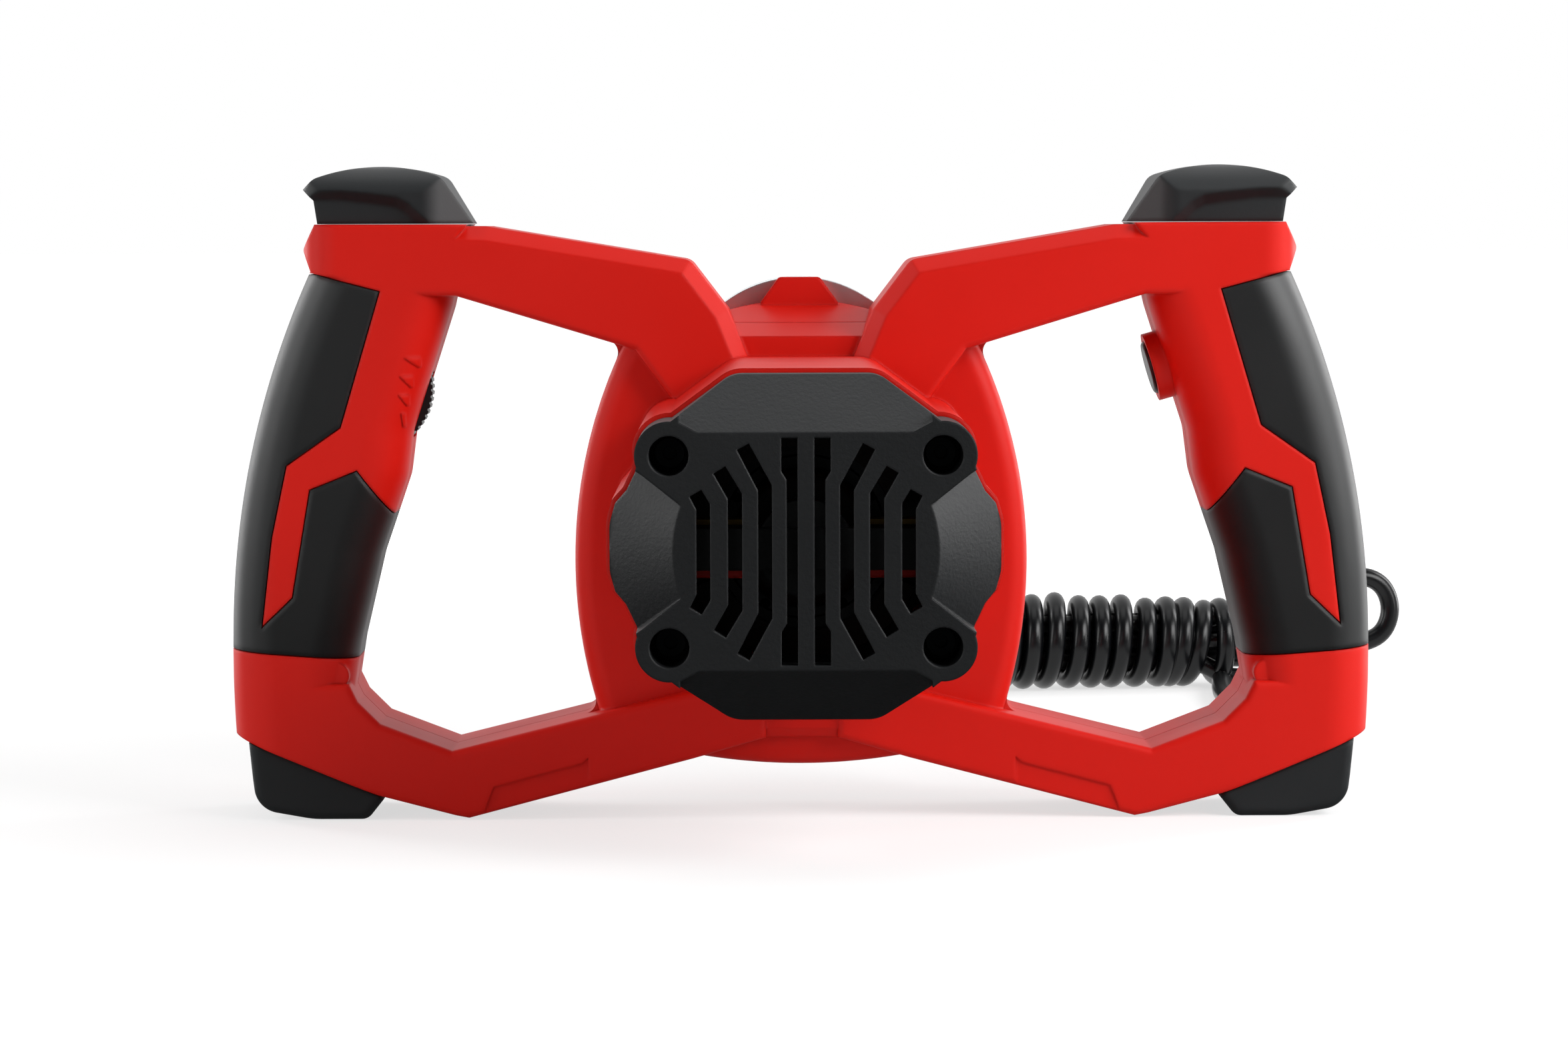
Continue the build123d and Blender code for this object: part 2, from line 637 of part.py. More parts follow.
to_lay = atan2(lay_rise, lay_x)
lay_to_spindle = atan2(spindle_z - lay_z, -lay_x)
first_gear_y = (14.0, 26.0)
second_gear_y = (37.0, 51.0)
cap_shaft_end = cap_bearing_y + 0.5
core_shaft_radius = 5.5
armature_shaft = rod(cap_bearing[0], cap_shaft_end, stator_front - 12)
armature_shaft += rod(core_shaft_radius, stator_front - 12, stator_back + 10)
armature_shaft += rod(motor_bearing[0], stator_back + 10, plate_front_y - 2)
armature_shaft += rod(3.9, plate_front_y - 2, first_gear_y[1] + 2)
armature_shaft += gear(first_module, first_pinion_teeth, to_lay, False,
                       first_gear_y[0] - 2, first_gear_y[1] + 2, 0, motor_z)
fit_gap = 0.02                 # pieces pressed on a shaft
armature_core = tube(core_radius, core_shaft_radius + fit_gap, stator_front, stator_back)
core_slots = 12
for number in range(core_slots):
    turn = 2 * pi * number / core_slots
    armature_core -= rod(1.5, stator_front - 1, stator_back + 1,
                         (core_radius - 0.9) * cos(turn), motor_z + (core_radius - 0.9) * sin(turn))
winding_radius = core_radius - 3.0
windings = [
    fillet(tube(winding_radius, core_shaft_radius + fit_gap, stator_front - 9,
                stator_front - seat_gap).edges().filter_by(GeomType.CIRCLE)
           .sort_by(Axis.Y)[:2].sort_by(SortBy.LENGTH)[-1:], 4.0),
    fillet(tube(winding_radius, core_shaft_radius + fit_gap, stator_back + seat_gap,
                stator_back + 8).edges().filter_by(GeomType.CIRCLE)
           .sort_by(Axis.Y)[-2:].sort_by(SortBy.LENGTH)[-1:], 4.0)]
commutator = tube(commutator_radius, cap_bearing[0] + fit_gap,
                  commutator_y - commutator_length / 2, commutator_y + commutator_length / 2)
for number in range(24):
    bar_gap = Pos(0, commutator_y, motor_z) * Rot(0, number * 15, 0) * Pos(commutator_radius, 0, 0)
    commutator -= bar_gap * Box(1.6, commutator_length + 1, 0.5)
fan = rod(fan_radius, fan_y + fan_length / 2 - 2, fan_y + fan_length / 2)
fan += rod(9.0, fan_y - fan_length / 2, fan_y + fan_length / 2)
blade = Pos((fan_radius - 1) / 2 + 4, 0, 0) * Box(fan_radius - 9, fan_length, 1.8)
for number in range(fan_blades):
    fan += Pos(0, fan_y, motor_z) * Rot(0, 360 / fan_blades * number, 0) * Pos(0, 0, 3) * blade
fan -= rod(motor_bearing[0] + fit_gap, -60, 20)


def bearing(size, y0, x, z):
    """A ball bearing as one ring, with its races' step on both faces."""
    bore, outer, width = size
    ring = tube(outer, bore + running_gap, y0, y0 + width, x, z)
    shield = tube(outer - 0.25 * (outer - bore), bore + 0.3 * (outer - bore), y0 - 1, y0 + 0.4, x, z)
    far = Pos(0, width + 0.6, 0) * shield
    return ring - shield - far


cap_ring = bearing(cap_bearing, cap_bearing_y + 0.05, 0, motor_z)
motor_bearing_y = plate_front_y - 4 - motor_bearing[2]
motor_ring = bearing(motor_bearing, motor_bearing_y, 0, motor_z)


def wedge(from_degrees, to_degrees, y0, y1):
    """A slice of the space round the motor's axis, between two angles."""
    reach = 90
    steps = max(2, ceil((to_degrees - from_degrees) / 60) + 1)
    turns = [radians(from_degrees + (to_degrees - from_degrees) * n / (steps - 1))
             for n in range(steps)]
    arc = [(reach * cos(turn), motor_z + reach * sin(turn)) for turn in turns]
    return prism(outline([(0, motor_z)] + arc), y0, y1)


stator = tube(stator_radius, stator_bore, stator_front, stator_back)
coil_gap = 0.3
coil_from = 24.0
coil_leg = 17.0
for start in (coil_from, 180 - coil_from - coil_leg, 180 + coil_from, 360 - coil_from - coil_leg):
    window = tube(coil_outer + coil_gap, coil_inner - coil_gap, stator_front - 1, stator_back + 1)
    stator -= window & wedge(start - 0.7, start + coil_leg + 0.7, stator_front - 1, stator_back + 1)
coil_ring = tube(coil_outer, coil_inner, stator_front - coil_overhang, stator_back + coil_overhang)
coil = coil_ring & wedge(coil_from, 180 - coil_from, -120, 20)
coil -= wedge(coil_from + coil_leg, 180 - coil_from - coil_leg, stator_front - coil_gap,
              stator_back + coil_gap)
coils = [coil, mirror(coil, about=upside_down)]

holder_start = commutator_radius + 4.0
holder_end = 43.0
brush_start = commutator_radius + 0.2
holder = block(holder_start, holder_end, commutator_y - brush_width / 2 - 1.7,
               commutator_y + brush_width / 2 + 1.7, motor_z - brush_height / 2 - 2,
               motor_z + brush_height / 2 + 2)
holder -= block(holder_start - 1, holder_end - 2, commutator_y - brush_width / 2 - seat_gap,
                commutator_y + brush_width / 2 + seat_gap, motor_z - brush_height / 2 - seat_gap,
                motor_z + brush_height / 2 + seat_gap)
brush = block(brush_start, brush_start + brush_length, commutator_y - brush_width / 2,
              commutator_y + brush_width / 2, motor_z - brush_height / 2,
              motor_z + brush_height / 2)
spring_start = brush_start + brush_length + seat_gap
spring_length = holder_end - 2 - seat_gap - spring_start
spring_coils = 5
spring_path = Helix(pitch=(spring_length - 0.8) / spring_coils, height=spring_length - 0.8, radius=2.1)
spring_wire = sweep(Plane(origin=spring_path @ 0, z_dir=spring_path % 0) * Circle(0.35), spring_path)
brush_spring = Pos(spring_start + 0.4, commutator_y, motor_z) * Rot(0, 90, 0) * spring_wire

# ---------------------------------------------------------------- gearbox
flange_y = drum_rear_y
flange_end = flange_y + flange_thickness


def gearbox_face(lobe, top, margin=0.0):
    """The casting's pear shape round its three axes."""
    edges = []
    for x, z, r in ((0, spindle_z, top), (gear_lobe[0], gear_lobe[1], lobe),
                    (-gear_lobe[0], gear_lobe[1], lobe)):
        edges += (Pos(x, z) * Circle(r + margin)).edges()
    return make_hull(edges)


inner_face = gearbox_face(gear_lobe_radius, spindle_lobe_radius)
flange_face = gearbox_face(flange_lobe_radius, nose_disc_radius)
gear_side -= prism(gearbox_face(gear_lobe_radius, spindle_lobe_radius, 0.3), 0, drum_rear_y + 1)
housing = prism(flange_face, flange_y, flange_end)
housing += prism(inner_face, plate_front_y, gear_chamber_end)
housing += rod(nose_disc_radius, flange_end, gear_chamber_end, 0, spindle_z)
housing += cone(nose_radius + 4, nose_radius, gear_chamber_end, gear_chamber_end + 8, 0, spindle_z)
housing += rod(nose_radius, gear_chamber_end, nose_end_y - 6, 0, spindle_z)
housing += cone(nose_radius, nose_tip_radius, nose_end_y - 6, nose_end_y, 0, spindle_z)
housing += rod(lay_bearing[1] + 4, gear_chamber_end - 2, gear_chamber_end + 4, lay_x, lay_z)
housing -= prism(gearbox_face(gear_lobe_radius, spindle_lobe_radius, -gearbox_wall),
                 plate_front_y - 1, gear_chamber_front)
housing -= rod(nose_disc_radius - gearbox_wall, flange_end, gear_chamber_front, 0, spindle_z)
disc_groove_y = gear_chamber_end - 12
housing -= tube(nose_disc_radius + 2, nose_disc_radius - 1.2, disc_groove_y, disc_groove_y + 2.5,
                0, spindle_z)
nose_bearing_y = nose_end_y - 18.0
housing -= rod(spindle_nose_bearing[0] + 1.5, gear_chamber_front - 1, nose_end_y + 1, 0, spindle_z)
housing -= rod(spindle_nose_bearing[1] + seat_gap, nose_bearing_y, nose_end_y + 1, 0, spindle_z)
lay_front_y = gear_chamber_end - 6.5
housing -= rod(lay_bearing[1] + seat_gap, gear_chamber_front - 2, lay_front_y + lay_bearing[2] + 0.1,
               lay_x, lay_z)

plate_hub = motor_bearing[1] + 3.5
plate = prism(inner_face, plate_rear_y, plate_front_y)
plate += rod(plate_hub, motor_bearing_y - 1, plate_front_y)
plate -= rod(motor_bearing[1] + seat_gap, motor_bearing_y - 2, motor_bearing_y + motor_bearing[2])
plate -= rod(motor_bearing[0] + 2.0, motor_bearing_y, plate_front_y + 1)
lay_rear_y = plate_rear_y + 1.5
plate -= rod(lay_bearing[1] + seat_gap, lay_rear_y, plate_front_y + 1, lay_x, lay_z)
spindle_rear_y = plate_rear_y + 1.0
plate -= rod(spindle_rear_bearing[1] + seat_gap, spindle_rear_y, plate_front_y + 1, 0, spindle_z)

plate_screw_radius = 1.4
plate_screw_head = 2.4
plate_screw_set = []
plate_screw_spots = []
for angle in (50, 130):
    reach = spindle_lobe_radius - gearbox_wall / 2
    plate_screw_spots.append((reach * cos(radians(angle)), spindle_z + reach * sin(radians(angle))))
for side in (-1, 1):
    reach = gear_lobe_radius - gearbox_wall / 2
    plate_screw_spots.append((side * (gear_lobe[0] + reach * cos(radians(-40))),
                              gear_lobe[1] + reach * sin(radians(-40))))
for x, z in plate_screw_spots:
    hole = rod(plate_screw_radius + 0.05, plate_rear_y - 1, plate_front_y + 12, x, z)
    plate -= hole
    housing -= hole
    screw = rod(plate_screw_radius, plate_rear_y, plate_front_y + 10, x, z)
    plate_screw_set.append(screw + rod(plate_screw_head, plate_rear_y - 2, plate_rear_y, x, z))

gearbox_screw_radius = 2.5
gearbox_screw_head = 4.25
gearbox_screw_tip = 8.0
gearbox_screw_set = []
flange_top_screw = (50.0, 118.0)
flange_spots = []
for side in (-1, 1):
    low_reach = (flange_lobe_radius + gear_lobe_radius) / 2
    flange_spots.append((side * flange_top_screw[0], flange_top_screw[1]))
    flange_spots.append((side * (gear_lobe[0] + low_reach * cos(radians(-50))),
                         gear_lobe[1] + low_reach * sin(radians(-50))))
boss_clear = prism(gearbox_face(gear_lobe_radius, spindle_lobe_radius, 0.3), 0, drum_rear_y + 1)
for x, z in flange_spots:
    boss = rod(5.0, gearbox_screw_tip - 3, drum_rear_y - 1, x, z) - boss_clear
    hole = rod(gearbox_screw_radius + seat_gap, gearbox_screw_tip - 1, flange_end + 1, x, z)
    gear_side += boss & block(-200, 200, 0, 60, 0, 200)
    gear_side -= hole
    housing -= hole
    screw = rod(gearbox_screw_radius, gearbox_screw_tip, flange_end, x, z)
    screw += rod(gearbox_screw_head, flange_end, flange_end + 5, x, z)
    screw -= rod(2.0, flange_end + 2.5, flange_end + 6, x, z)
    gearbox_screw_set.append(screw)

first_gear = gear(first_module, first_gear_teeth, to_lay + pi, True, *first_gear_y, lay_x, lay_z)
lay_seat = 6.0
first_gear -= rod(lay_seat + fit_gap, 0, 60, lay_x, lay_z)
first_gear -= tube(15.5, 9.5, first_gear_y[0] - 1, first_gear_y[0] + 3, lay_x, lay_z)
first_gear -= tube(15.5, 9.5, first_gear_y[1] - 3, first_gear_y[1] + 1, lay_x, lay_z)
layshaft = rod(lay_bearing[0], lay_rear_y + 0.5, lay_rear_y + lay_bearing[2] + 1, lay_x, lay_z)
layshaft += rod(lay_seat, lay_rear_y + lay_bearing[2] + 1, second_gear_y[0] - 2, lay_x, lay_z)
layshaft += gear(second_module, second_pinion_teeth, lay_to_spindle, False,
                 second_gear_y[0] - 2, second_gear_y[1] + 2, lay_x, lay_z)
layshaft += rod(lay_bearing[0], second_gear_y[1] + 2, lay_front_y + lay_bearing[2] - 0.4,
                lay_x, lay_z)
lay_rear_ring = bearing(lay_bearing, lay_rear_y, lay_x, lay_z)
lay_front_ring = bearing(lay_bearing, lay_front_y, lay_x, lay_z)

gear_seat = spindle_nose_bearing[0] + 0.5
output_gear = gear(second_module, second_gear_teeth, lay_to_spindle + pi, True,
                   *second_gear_y, 0, spindle_z)
output_gear -= rod(gear_seat + fit_gap, 0, 90, 0, spindle_z)
output_gear -= tube(28.5, 15.5, second_gear_y[0] - 1, second_gear_y[0] + 4, 0, spindle_z)
output_gear -= tube(28.5, 15.5, second_gear_y[1] - 4, second_gear_y[1] + 1, 0, spindle_z)
head_y = spindle_tip_y - spindle_head_length
spindle = rod(spindle_rear_bearing[0], spindle_rear_y + 0.5,
              spindle_rear_y + spindle_rear_bearing[2] + 1, 0, spindle_z)
spindle += rod(9.0, spindle_rear_y + spindle_rear_bearing[2] + 1, second_gear_y[0] - 1, 0, spindle_z)
spindle += rod(gear_seat, second_gear_y[0] - 1, second_gear_y[1] + 2, 0, spindle_z)
spindle += rod(spindle_nose_bearing[0], second_gear_y[1] + 2, head_y, 0, spindle_z)
head = rod(spindle_head_radius, head_y, spindle_tip_y, 0, spindle_z)
head = chamfer(head.edges().filter_by(GeomType.CIRCLE), 0.8)
flat_length = 16.0
for side in (-1, 1):
    head -= Pos(side * (spindle_flats / 2 + 5), spindle_tip_y - 4 - flat_length / 2, spindle_z) * Box(
        10, flat_length, 60)
spindle += head
spindle -= rod(thread_radius, spindle_tip_y - thread_depth, spindle_tip_y + 1, 0, spindle_z)
spindle_rear_ring = bearing(spindle_rear_bearing, spindle_rear_y, 0, spindle_z)
nose_ring = bearing(spindle_nose_bearing, nose_bearing_y, 0, spindle_z)
circlip_y = nose_bearing_y + spindle_nose_bearing[2] + seat_gap
circlip = tube(spindle_nose_bearing[1], spindle_nose_bearing[1] - 3, circlip_y, circlip_y + 1.5,
               0, spindle_z)
circlip -= Pos(0, circlip_y, spindle_z + 20) * Box(5, 10, 10)
seal = tube(spindle_nose_bearing[1], spindle_nose_bearing[0] + 0.1, circlip_y + 1.6, nose_end_y,
            0, spindle_z)

# ---------------------------------------------------------------- switch, right handle
tilt = radians(button_tilt)
button_plane = Plane(origin=(button_centre[0], 0, button_centre[1]), x_dir=(0, 1, 0),
                     z_dir=(-cos(tilt), 0, -sin(tilt)))


def along_button(radius, z0, z1):
    """A cylinder on the button's axis, between two distances from the collar's rim."""
    return button_plane * Pos(0, 0, (z0 + z1) / 2) * Cylinder(radius, z1 - z0)


flange_depth = collar_reach + 1.0
collar_solid = along_button(collar_radius, -collar_reach, 0)
collar_front = collar_solid & block(80, 200, -60, 0, 60, 220)
collar_rear = collar_solid & block(80, 200, 0, 60, 60, 220)
button_bore = along_button(button_radius + sliding_gap, -60, 5)
button_bore = button_bore & block(80, button_centre[0] + 22, -60, 60, 60, 220)
flange_room = along_button(button_radius + 2.0, -flange_depth - button_travel - 3, -collar_reach)
motor_side = motor_side + collar_front - button_bore - flange_room
gear_side = gear_side + collar_rear - button_bore - flange_room
button = along_button(button_radius, -flange_depth, button_dome)
button = fillet(button.edges().filter_by(GeomType.CIRCLE).sort_by(Axis.X)[:1], button_dome)
button += along_button(button_radius + 1.4, -flange_depth - 2, -flange_depth)
button += along_button(3.0, -flange_depth - 5, -flange_depth)
switch_front = -flange_depth - 5 - button_travel - 0.5
switch_body = button_plane * Pos(0, 0, switch_front - switch_size[0] / 2) * Box(
    switch_size[0], switch_size[2], switch_size[0])
switch_body = chamfer(switch_body.edges(), 0.8)
seat_reach = switch_size[0] / 2 + seat_gap
switch_x = button_centre[0] - (switch_front - switch_size[0] / 2) * cos(tilt)
switch_z = button_centre[1] - (switch_front - switch_size[0] / 2) * sin(tilt)
inner_depth = frame_half_depth - grip_thickness - wall
for x, z in ((switch_x - 4, switch_z + 8), (switch_x + 2, switch_z - 8)):
    motor_side += rod(3.5, -inner_depth - 1, -seat_reach, x, z)
    gear_side += rod(3.5, seat_reach, inner_depth + 1, x, z)

# ---------------------------------------------------------------- speed dial, left handle
dial_x, dial_z = -dial_centre[0], dial_centre[1]
knurl = []
for number in range(dial_knurls):
    for turn, radius in ((0, dial_radius), (0.45, dial_radius), (0.6, dial_radius - dial_knurl_depth),
                         (0.85, dial_radius - dial_knurl_depth)):
        angle = 2 * pi * (number + turn) / dial_knurls
        knurl.append((radius * cos(angle), radius * sin(angle)))
dial = Pos(dial_x, 0, dial_z) * prism(outline(knurl), -dial_width / 2, dial_width / 2)
dial -= rod(3.0 + running_gap, -20, 20, dial_x, dial_z)
dial_room = rod(dial_radius + 0.6, -dial_width / 2 - 0.5, dial_width / 2 + 0.5, dial_x, dial_z)
motor_side -= dial_room
gear_side -= dial_room
# raised wedges beside the dial, from the slow end up: outer x, inner x, low z, high z
dial_marks = [(125.1, 123.8, 123.6, 128.0), (125.7, 122.5, 130.3, 133.8),
              (125.2, 121.2, 136.1, 139.7), (123.8, 118.8, 142.4, 145.5)]
mark_height = 0.4
for outer_x, inner_x, low_z, high_z in dial_marks:
    mark = prism(outline([(-outer_x, high_z), (-inner_x, high_z), (-inner_x, low_z),
                          (-inner_x - 0.8, low_z)]), -60, 0)
    motor_side += mark & left(handle_body(-mark_height)) - left(handle_body(mark_height))
pot_front = dial_width / 2 + 1.5
pot_back = 12.0
potentiometer = rod(8.0, pot_front, pot_back, dial_x, dial_z)
potentiometer += rod(3.0, -dial_width / 2, pot_front, dial_x, dial_z)
board_front = pot_back
board_thickness = 1.6
board = block(-152, -131, board_front, board_front + board_thickness, 120, 150)
for x, z in ((-148.0, 124.0), (-134.5, 146.0)):
    gear_side += rod(2.6, board_front + board_thickness + seat_gap, inner_depth + 1, x, z)
triac = block(-151, -140, board_front - 5, board_front - seat_gap, 121, 126)

# ---------------------------------------------------------------- bumpers and feet
bumper_half_depth = frame_half_depth - 1.5
bumper_crown = 205.0           # height of its rounded top
bumper_tip = (155.4, 197.8)    # overhanging outer end
bumper_inner_x = 102.6
lip_depth = 2.8                # step under the overhang
bumper_base = bumper_seat_z + 0.1
bumper_face = make_face([
    Polyline((150.8, bumper_base), (151.9, 194.4), bumper_tip, (151.8, 201.2)),
    ThreePointArc((151.8, 201.2), (130.0, bumper_crown), (112.0, 201.6)),
    Polyline((112.0, 201.6), (bumper_inner_x, bumper_base), (150.8, bumper_base))])
bumper_face = fillet(bumper_face.vertices().sort_by_distance(Vector(112.0, 201.6))[0], 6.0)
bumper_face = fillet(bumper_face.vertices().sort_by_distance(Vector(151.8, 201.2))[0], 5.0)
shoulder_z = bumper_crown - 8.0
crown_face = make_face([
    Line((-bumper_half_depth, bumper_base), (-bumper_half_depth, shoulder_z)),
    ThreePointArc((-bumper_half_depth, shoulder_z), (-0.82 * bumper_half_depth, shoulder_z + 5.2),
                  (-0.5 * bumper_half_depth, bumper_crown - 0.4)),
    ThreePointArc((-0.5 * bumper_half_depth, bumper_crown - 0.4), (0, bumper_crown + 0.4),
                  (0.5 * bumper_half_depth, bumper_crown - 0.4)),
    ThreePointArc((0.5 * bumper_half_depth, bumper_crown - 0.4),
                  (0.82 * bumper_half_depth, shoulder_z + 5.2), (bumper_half_depth, shoulder_z)),
    Line((bumper_half_depth, shoulder_z), (bumper_half_depth, bumper_base)),
    Line((bumper_half_depth, bumper_base), (-bumper_half_depth, bumper_base))])
plan_points = [(bumper_inner_x - 1.0, -7.0), (115.0, -bumper_half_depth),
               (bumper_tip[0] + 1.0, -bumper_half_depth)]
plan_face = outline(plan_points + [(x, -y) for x, y in reversed(plan_points)])
for corner, radius in ((plan_points[0], 5.0), (plan_points[1], 9.0), (plan_points[2], 9.0)):
    plan_face = fillet([v for v in plan_face.vertices()
                        if hypot(v.X - corner[0], abs(v.Y) + corner[1]) < 0.01], radius)
bumper = prism(bumper_face, -bumper_half_depth, bumper_half_depth)
bumper &= extrude(Plane.YZ.offset(90.0) * crown_face, amount=80.0)
bumper &= Pos(0, 0, bumper_base) * extrude(plan_face, amount=30.0)
lip_face = outline([
    (175.0, 197.9), (143.0, 197.9), (134.0, 196.8), (125.5, 195.6), (121.8, 193.6), (118.5, 190.4),
    (114.6, bumper_base), (112.0, 178.0), (175.0, 178.0)])
lip_cut = extrude(upright(-bumper_half_depth - 0.01) * lip_face, amount=lip_depth, dir=(0, 1, 0),
                  taper=50)
bumper = bumper - lip_cut - mirror(lip_cut, about=Plane.XZ)

foot_half_depth = frame_half_depth - 1.5
foot_gap = 0.3
foot_heel = (171.8, 3.2)
foot_toe = (136.8, 0.0)
foot_face = outline([
    (foot_seat_inner[0] - 1.0, foot_seat_inner[1] - 1.6), foot_toe, (154.0, 0.0), foot_heel,
    (173.0, 13.0), (foot_seat_outer[0] - 1.3, seat_height(foot_seat_outer[0] - 1.3) - foot_gap),
    (foot_seat_inner[0] + 0.5, seat_height(foot_seat_inner[0] + 0.5) - foot_gap)])
for corner, radius in ((foot_heel, 8.5), (foot_toe, 4.0), ((154.0, 0.0), 30.0)):
    foot_face = fillet(foot_face.vertices().sort_by_distance(Vector(*corner))[0], radius)
foot_edge = 2.5
foot = prism(foot_face, -foot_half_depth, foot_half_depth)
foot_rims = [edge for edge in foot.edges().filter_by(Axis.Y, reverse=True)
             if edge.center().Z < seat_height(edge.center().X) - foot_gap - 0.5]
foot = fillet(foot_rims, foot_edge)

# ---------------------------------------------------------------- power cord
wall_inner = frame_half_depth - wall
sleeve = rod(sleeve_root_radius + 1.4, wall_inner - 2.2, wall_inner - seat_gap, *cord_exit)
sleeve += rod(sleeve_root_radius, wall_inner - 2.2, frame_half_depth + 1, *cord_exit)
sleeve += cone(sleeve_root_radius, sleeve_tip_radius, frame_half_depth + 1,
               frame_half_depth + sleeve_length, *cord_exit)
for number in range(5):
    groove_y = frame_half_depth + 6 + number * 7
    groove = tube(12, sleeve_root_radius - 1.4 - 0.28 * number, groove_y, groove_y + 2.2, *cord_exit)
    sleeve -= groove
gear_side -= rod(sleeve_root_radius + seat_gap, 10, frame_half_depth + 1, *cord_exit)
gear_side -= rod(sleeve_root_radius + 1.4 + seat_gap, 10, wall_inner, *cord_exit)
sleeve_tip_y = frame_half_depth + sleeve_length
exit_x, exit_z = cord_exit
jacket_end_y = 6.0
jacket = rod(cord_diameter / 2, jacket_end_y, wall_inner - 2.2 - seat_gap, exit_x, exit_z)
jacket_top = exit_z + cord_diameter / 2
clamp_y = 10.5
clamp_reach = 8.4
clamp = block(exit_x - clamp_reach, exit_x + clamp_reach, clamp_y - 2.5, clamp_y + 2.5,
              jacket_top + seat_gap, jacket_top + 3.0)
clamp_ledge = block(exit_x - clamp_reach - 2, exit_x + clamp_reach + 1, clamp_y - 3,
                    wall_inner - 2.4, handle_hollow_low - 1, exit_z - cord_diameter / 2 - seat_gap)
clamp_posts = []
clamp_screw_set = []
for x in (exit_x - clamp_reach + 2.3, exit_x + clamp_reach - 2.3):
    post = Pos(x, clamp_y, exit_z - 0.5) * Cylinder(2.2, cord_diameter + 1.0)
    pin_length = cord_diameter + 2.0
    shaft = Pos(x, clamp_y, jacket_top + 3.0 - pin_length / 2) * Cylinder(1.2, pin_length)
    clamp_posts.append(post - Pos(x, clamp_y, exit_z + 2) * Cylinder(1.2 + seat_gap, 40))
    clamp -= Pos(x, clamp_y, exit_z) * Cylinder(1.2 + seat_gap, 40)
    shaft += Pos(x, clamp_y, jacket_top + 4.0 + seat_gap / 2) * Cylinder(2.2, 2.0 - seat_gap)
    clamp_screw_set.append(shaft)
gear_side += clamp_ledge
for post in clamp_posts:
    gear_side += post

cord_floor = cord_diameter / 2 + 0.1
lead_points = [
    (exit_x, sleeve_tip_y + 0.15, exit_z), (160.1, 92.0, 38.2), (160.9, 120.0, 29.5),
    (162.0, 146.0, 15.8), (163.6, 172.0, 5.4), (165.4, 200.0, cord_floor),
    (166.3, 229.0, cord_floor), (166.0, 258.0, cord_floor), (164.6, 287.0, cord_floor),
    (164.2, 325.5, cord_floor)]


def bend_radii(points):
    """The largest arc that each corner's two runs leave room for."""
    radii = []
    for before, corner, after in zip(points, points[1:], points[2:]):
        run_in = Vector(*corner) - Vector(*before)
        run_out = Vector(*after) - Vector(*corner)
        half_turn = radians(run_in.get_angle(run_out)) / 2
        radii.append(0.45 * min(run_in.length, run_out.length) / tan(half_turn))
    return radii


def cable(points, diameter):
    radii = bend_radii(points)
    print("cable bends:", [round(radius) for radius in radii])
    path = FilletPolyline(*points, radius=radii)
    return sweep(Plane(origin=path @ 0, z_dir=path % 0) * Circle(diameter / 2), path)


cord_lead = cable(lead_points, cord_diameter)
lead_path = FilletPolyline(*lead_points, radius=bend_radii(lead_points))
print("lead length and volume share:", round(lead_path.length, 1),
      round(cord_lead.volume / (lead_path.length * pi * cord_diameter ** 2 / 4), 4))

hank_outer = hank_wrap_radius + cord_diameter / 2
hank_axis_z = hank_outer + 0.4
hank_place = Pos(hank_start[0], hank_start[1], hank_axis_z) * Rot(0, 0, hank_turn) * Rot(0, 90, 0)
core_radius_hank = cord_diameter * 1.25
hank = hank_place * Pos(0, 0, hank_wrap_length / 2) * Cylinder(hank_outer, hank_wrap_length)
hank += hank_place * Pos(0, 0, -6) * Cylinder(core_radius_hank, 14)
bow_middle = (hank_bow_height + 6.0) / 2
bow = Pos(hank_start[0], hank_start[1], bow_middle) * Rot(0, 0, hank_turn) * Pos(
    (hank_wrap_length + hank_length) / 2 - 3, 0, 0) * Box(
    hank_length - hank_wrap_length + 6, 2.4 * cord_diameter, hank_bow_height - 6.0)
hank += chamfer(bow.edges(), 4.0)

plug_place = Pos(hank_start[0], hank_start[1], plug_radius + 0.2) * Rot(0, 0, hank_turn) * Rot(0, -90, 0)
neck_start = 13.0
plug = plug_place * Pos(0, 0, neck_start + plug_neck_length / 2) * Cone(
    sleeve_tip_radius, 9.0, plug_neck_length)
plug_body_start = neck_start + plug_neck_length
plug_round = Cylinder(plug_radius, plug_body_length)
plug_round = chamfer(plug_round.edges().filter_by(GeomType.CIRCLE), 2.5)
plug += plug_place * Pos(0, 0, plug_body_start + plug_body_length / 2) * plug_round
plug_pins = []
for side in (-1, 1):
    pin = plug_place * Pos(0, side * plug_pin_spread, plug_body_start + plug_body_length
                           + plug_pin_length / 2 - 4) * Cylinder(plug_pin_radius, plug_pin_length + 8)
    plug -= pin
    plug_pins.append(pin)

lead_wires = []
wire_diameter = 2.4
half_switch = switch_size[2] / 2
for x in (151.9, 154.9):
    start_x = exit_x + (x - 153.4) * 0.9
    end_x = x - 2.0
    along = (end_x - switch_x - half_switch * sin(tilt)) / cos(tilt)
    end_z = switch_z - half_switch * cos(tilt) + along * sin(tilt) - 0.7
    wire_points = [(start_x, jacket_end_y - 0.9, exit_z), (start_x - 0.6, 1.0, exit_z + 5.0),
                   (x + 1.0, -1.0, 54.0), (x, 0.0, 80.0), (x + 0.3, 0.2, 106.0),
                   (end_x, 0.4, end_z)]
    lead_wires.append(cable(wire_points, wire_diameter))

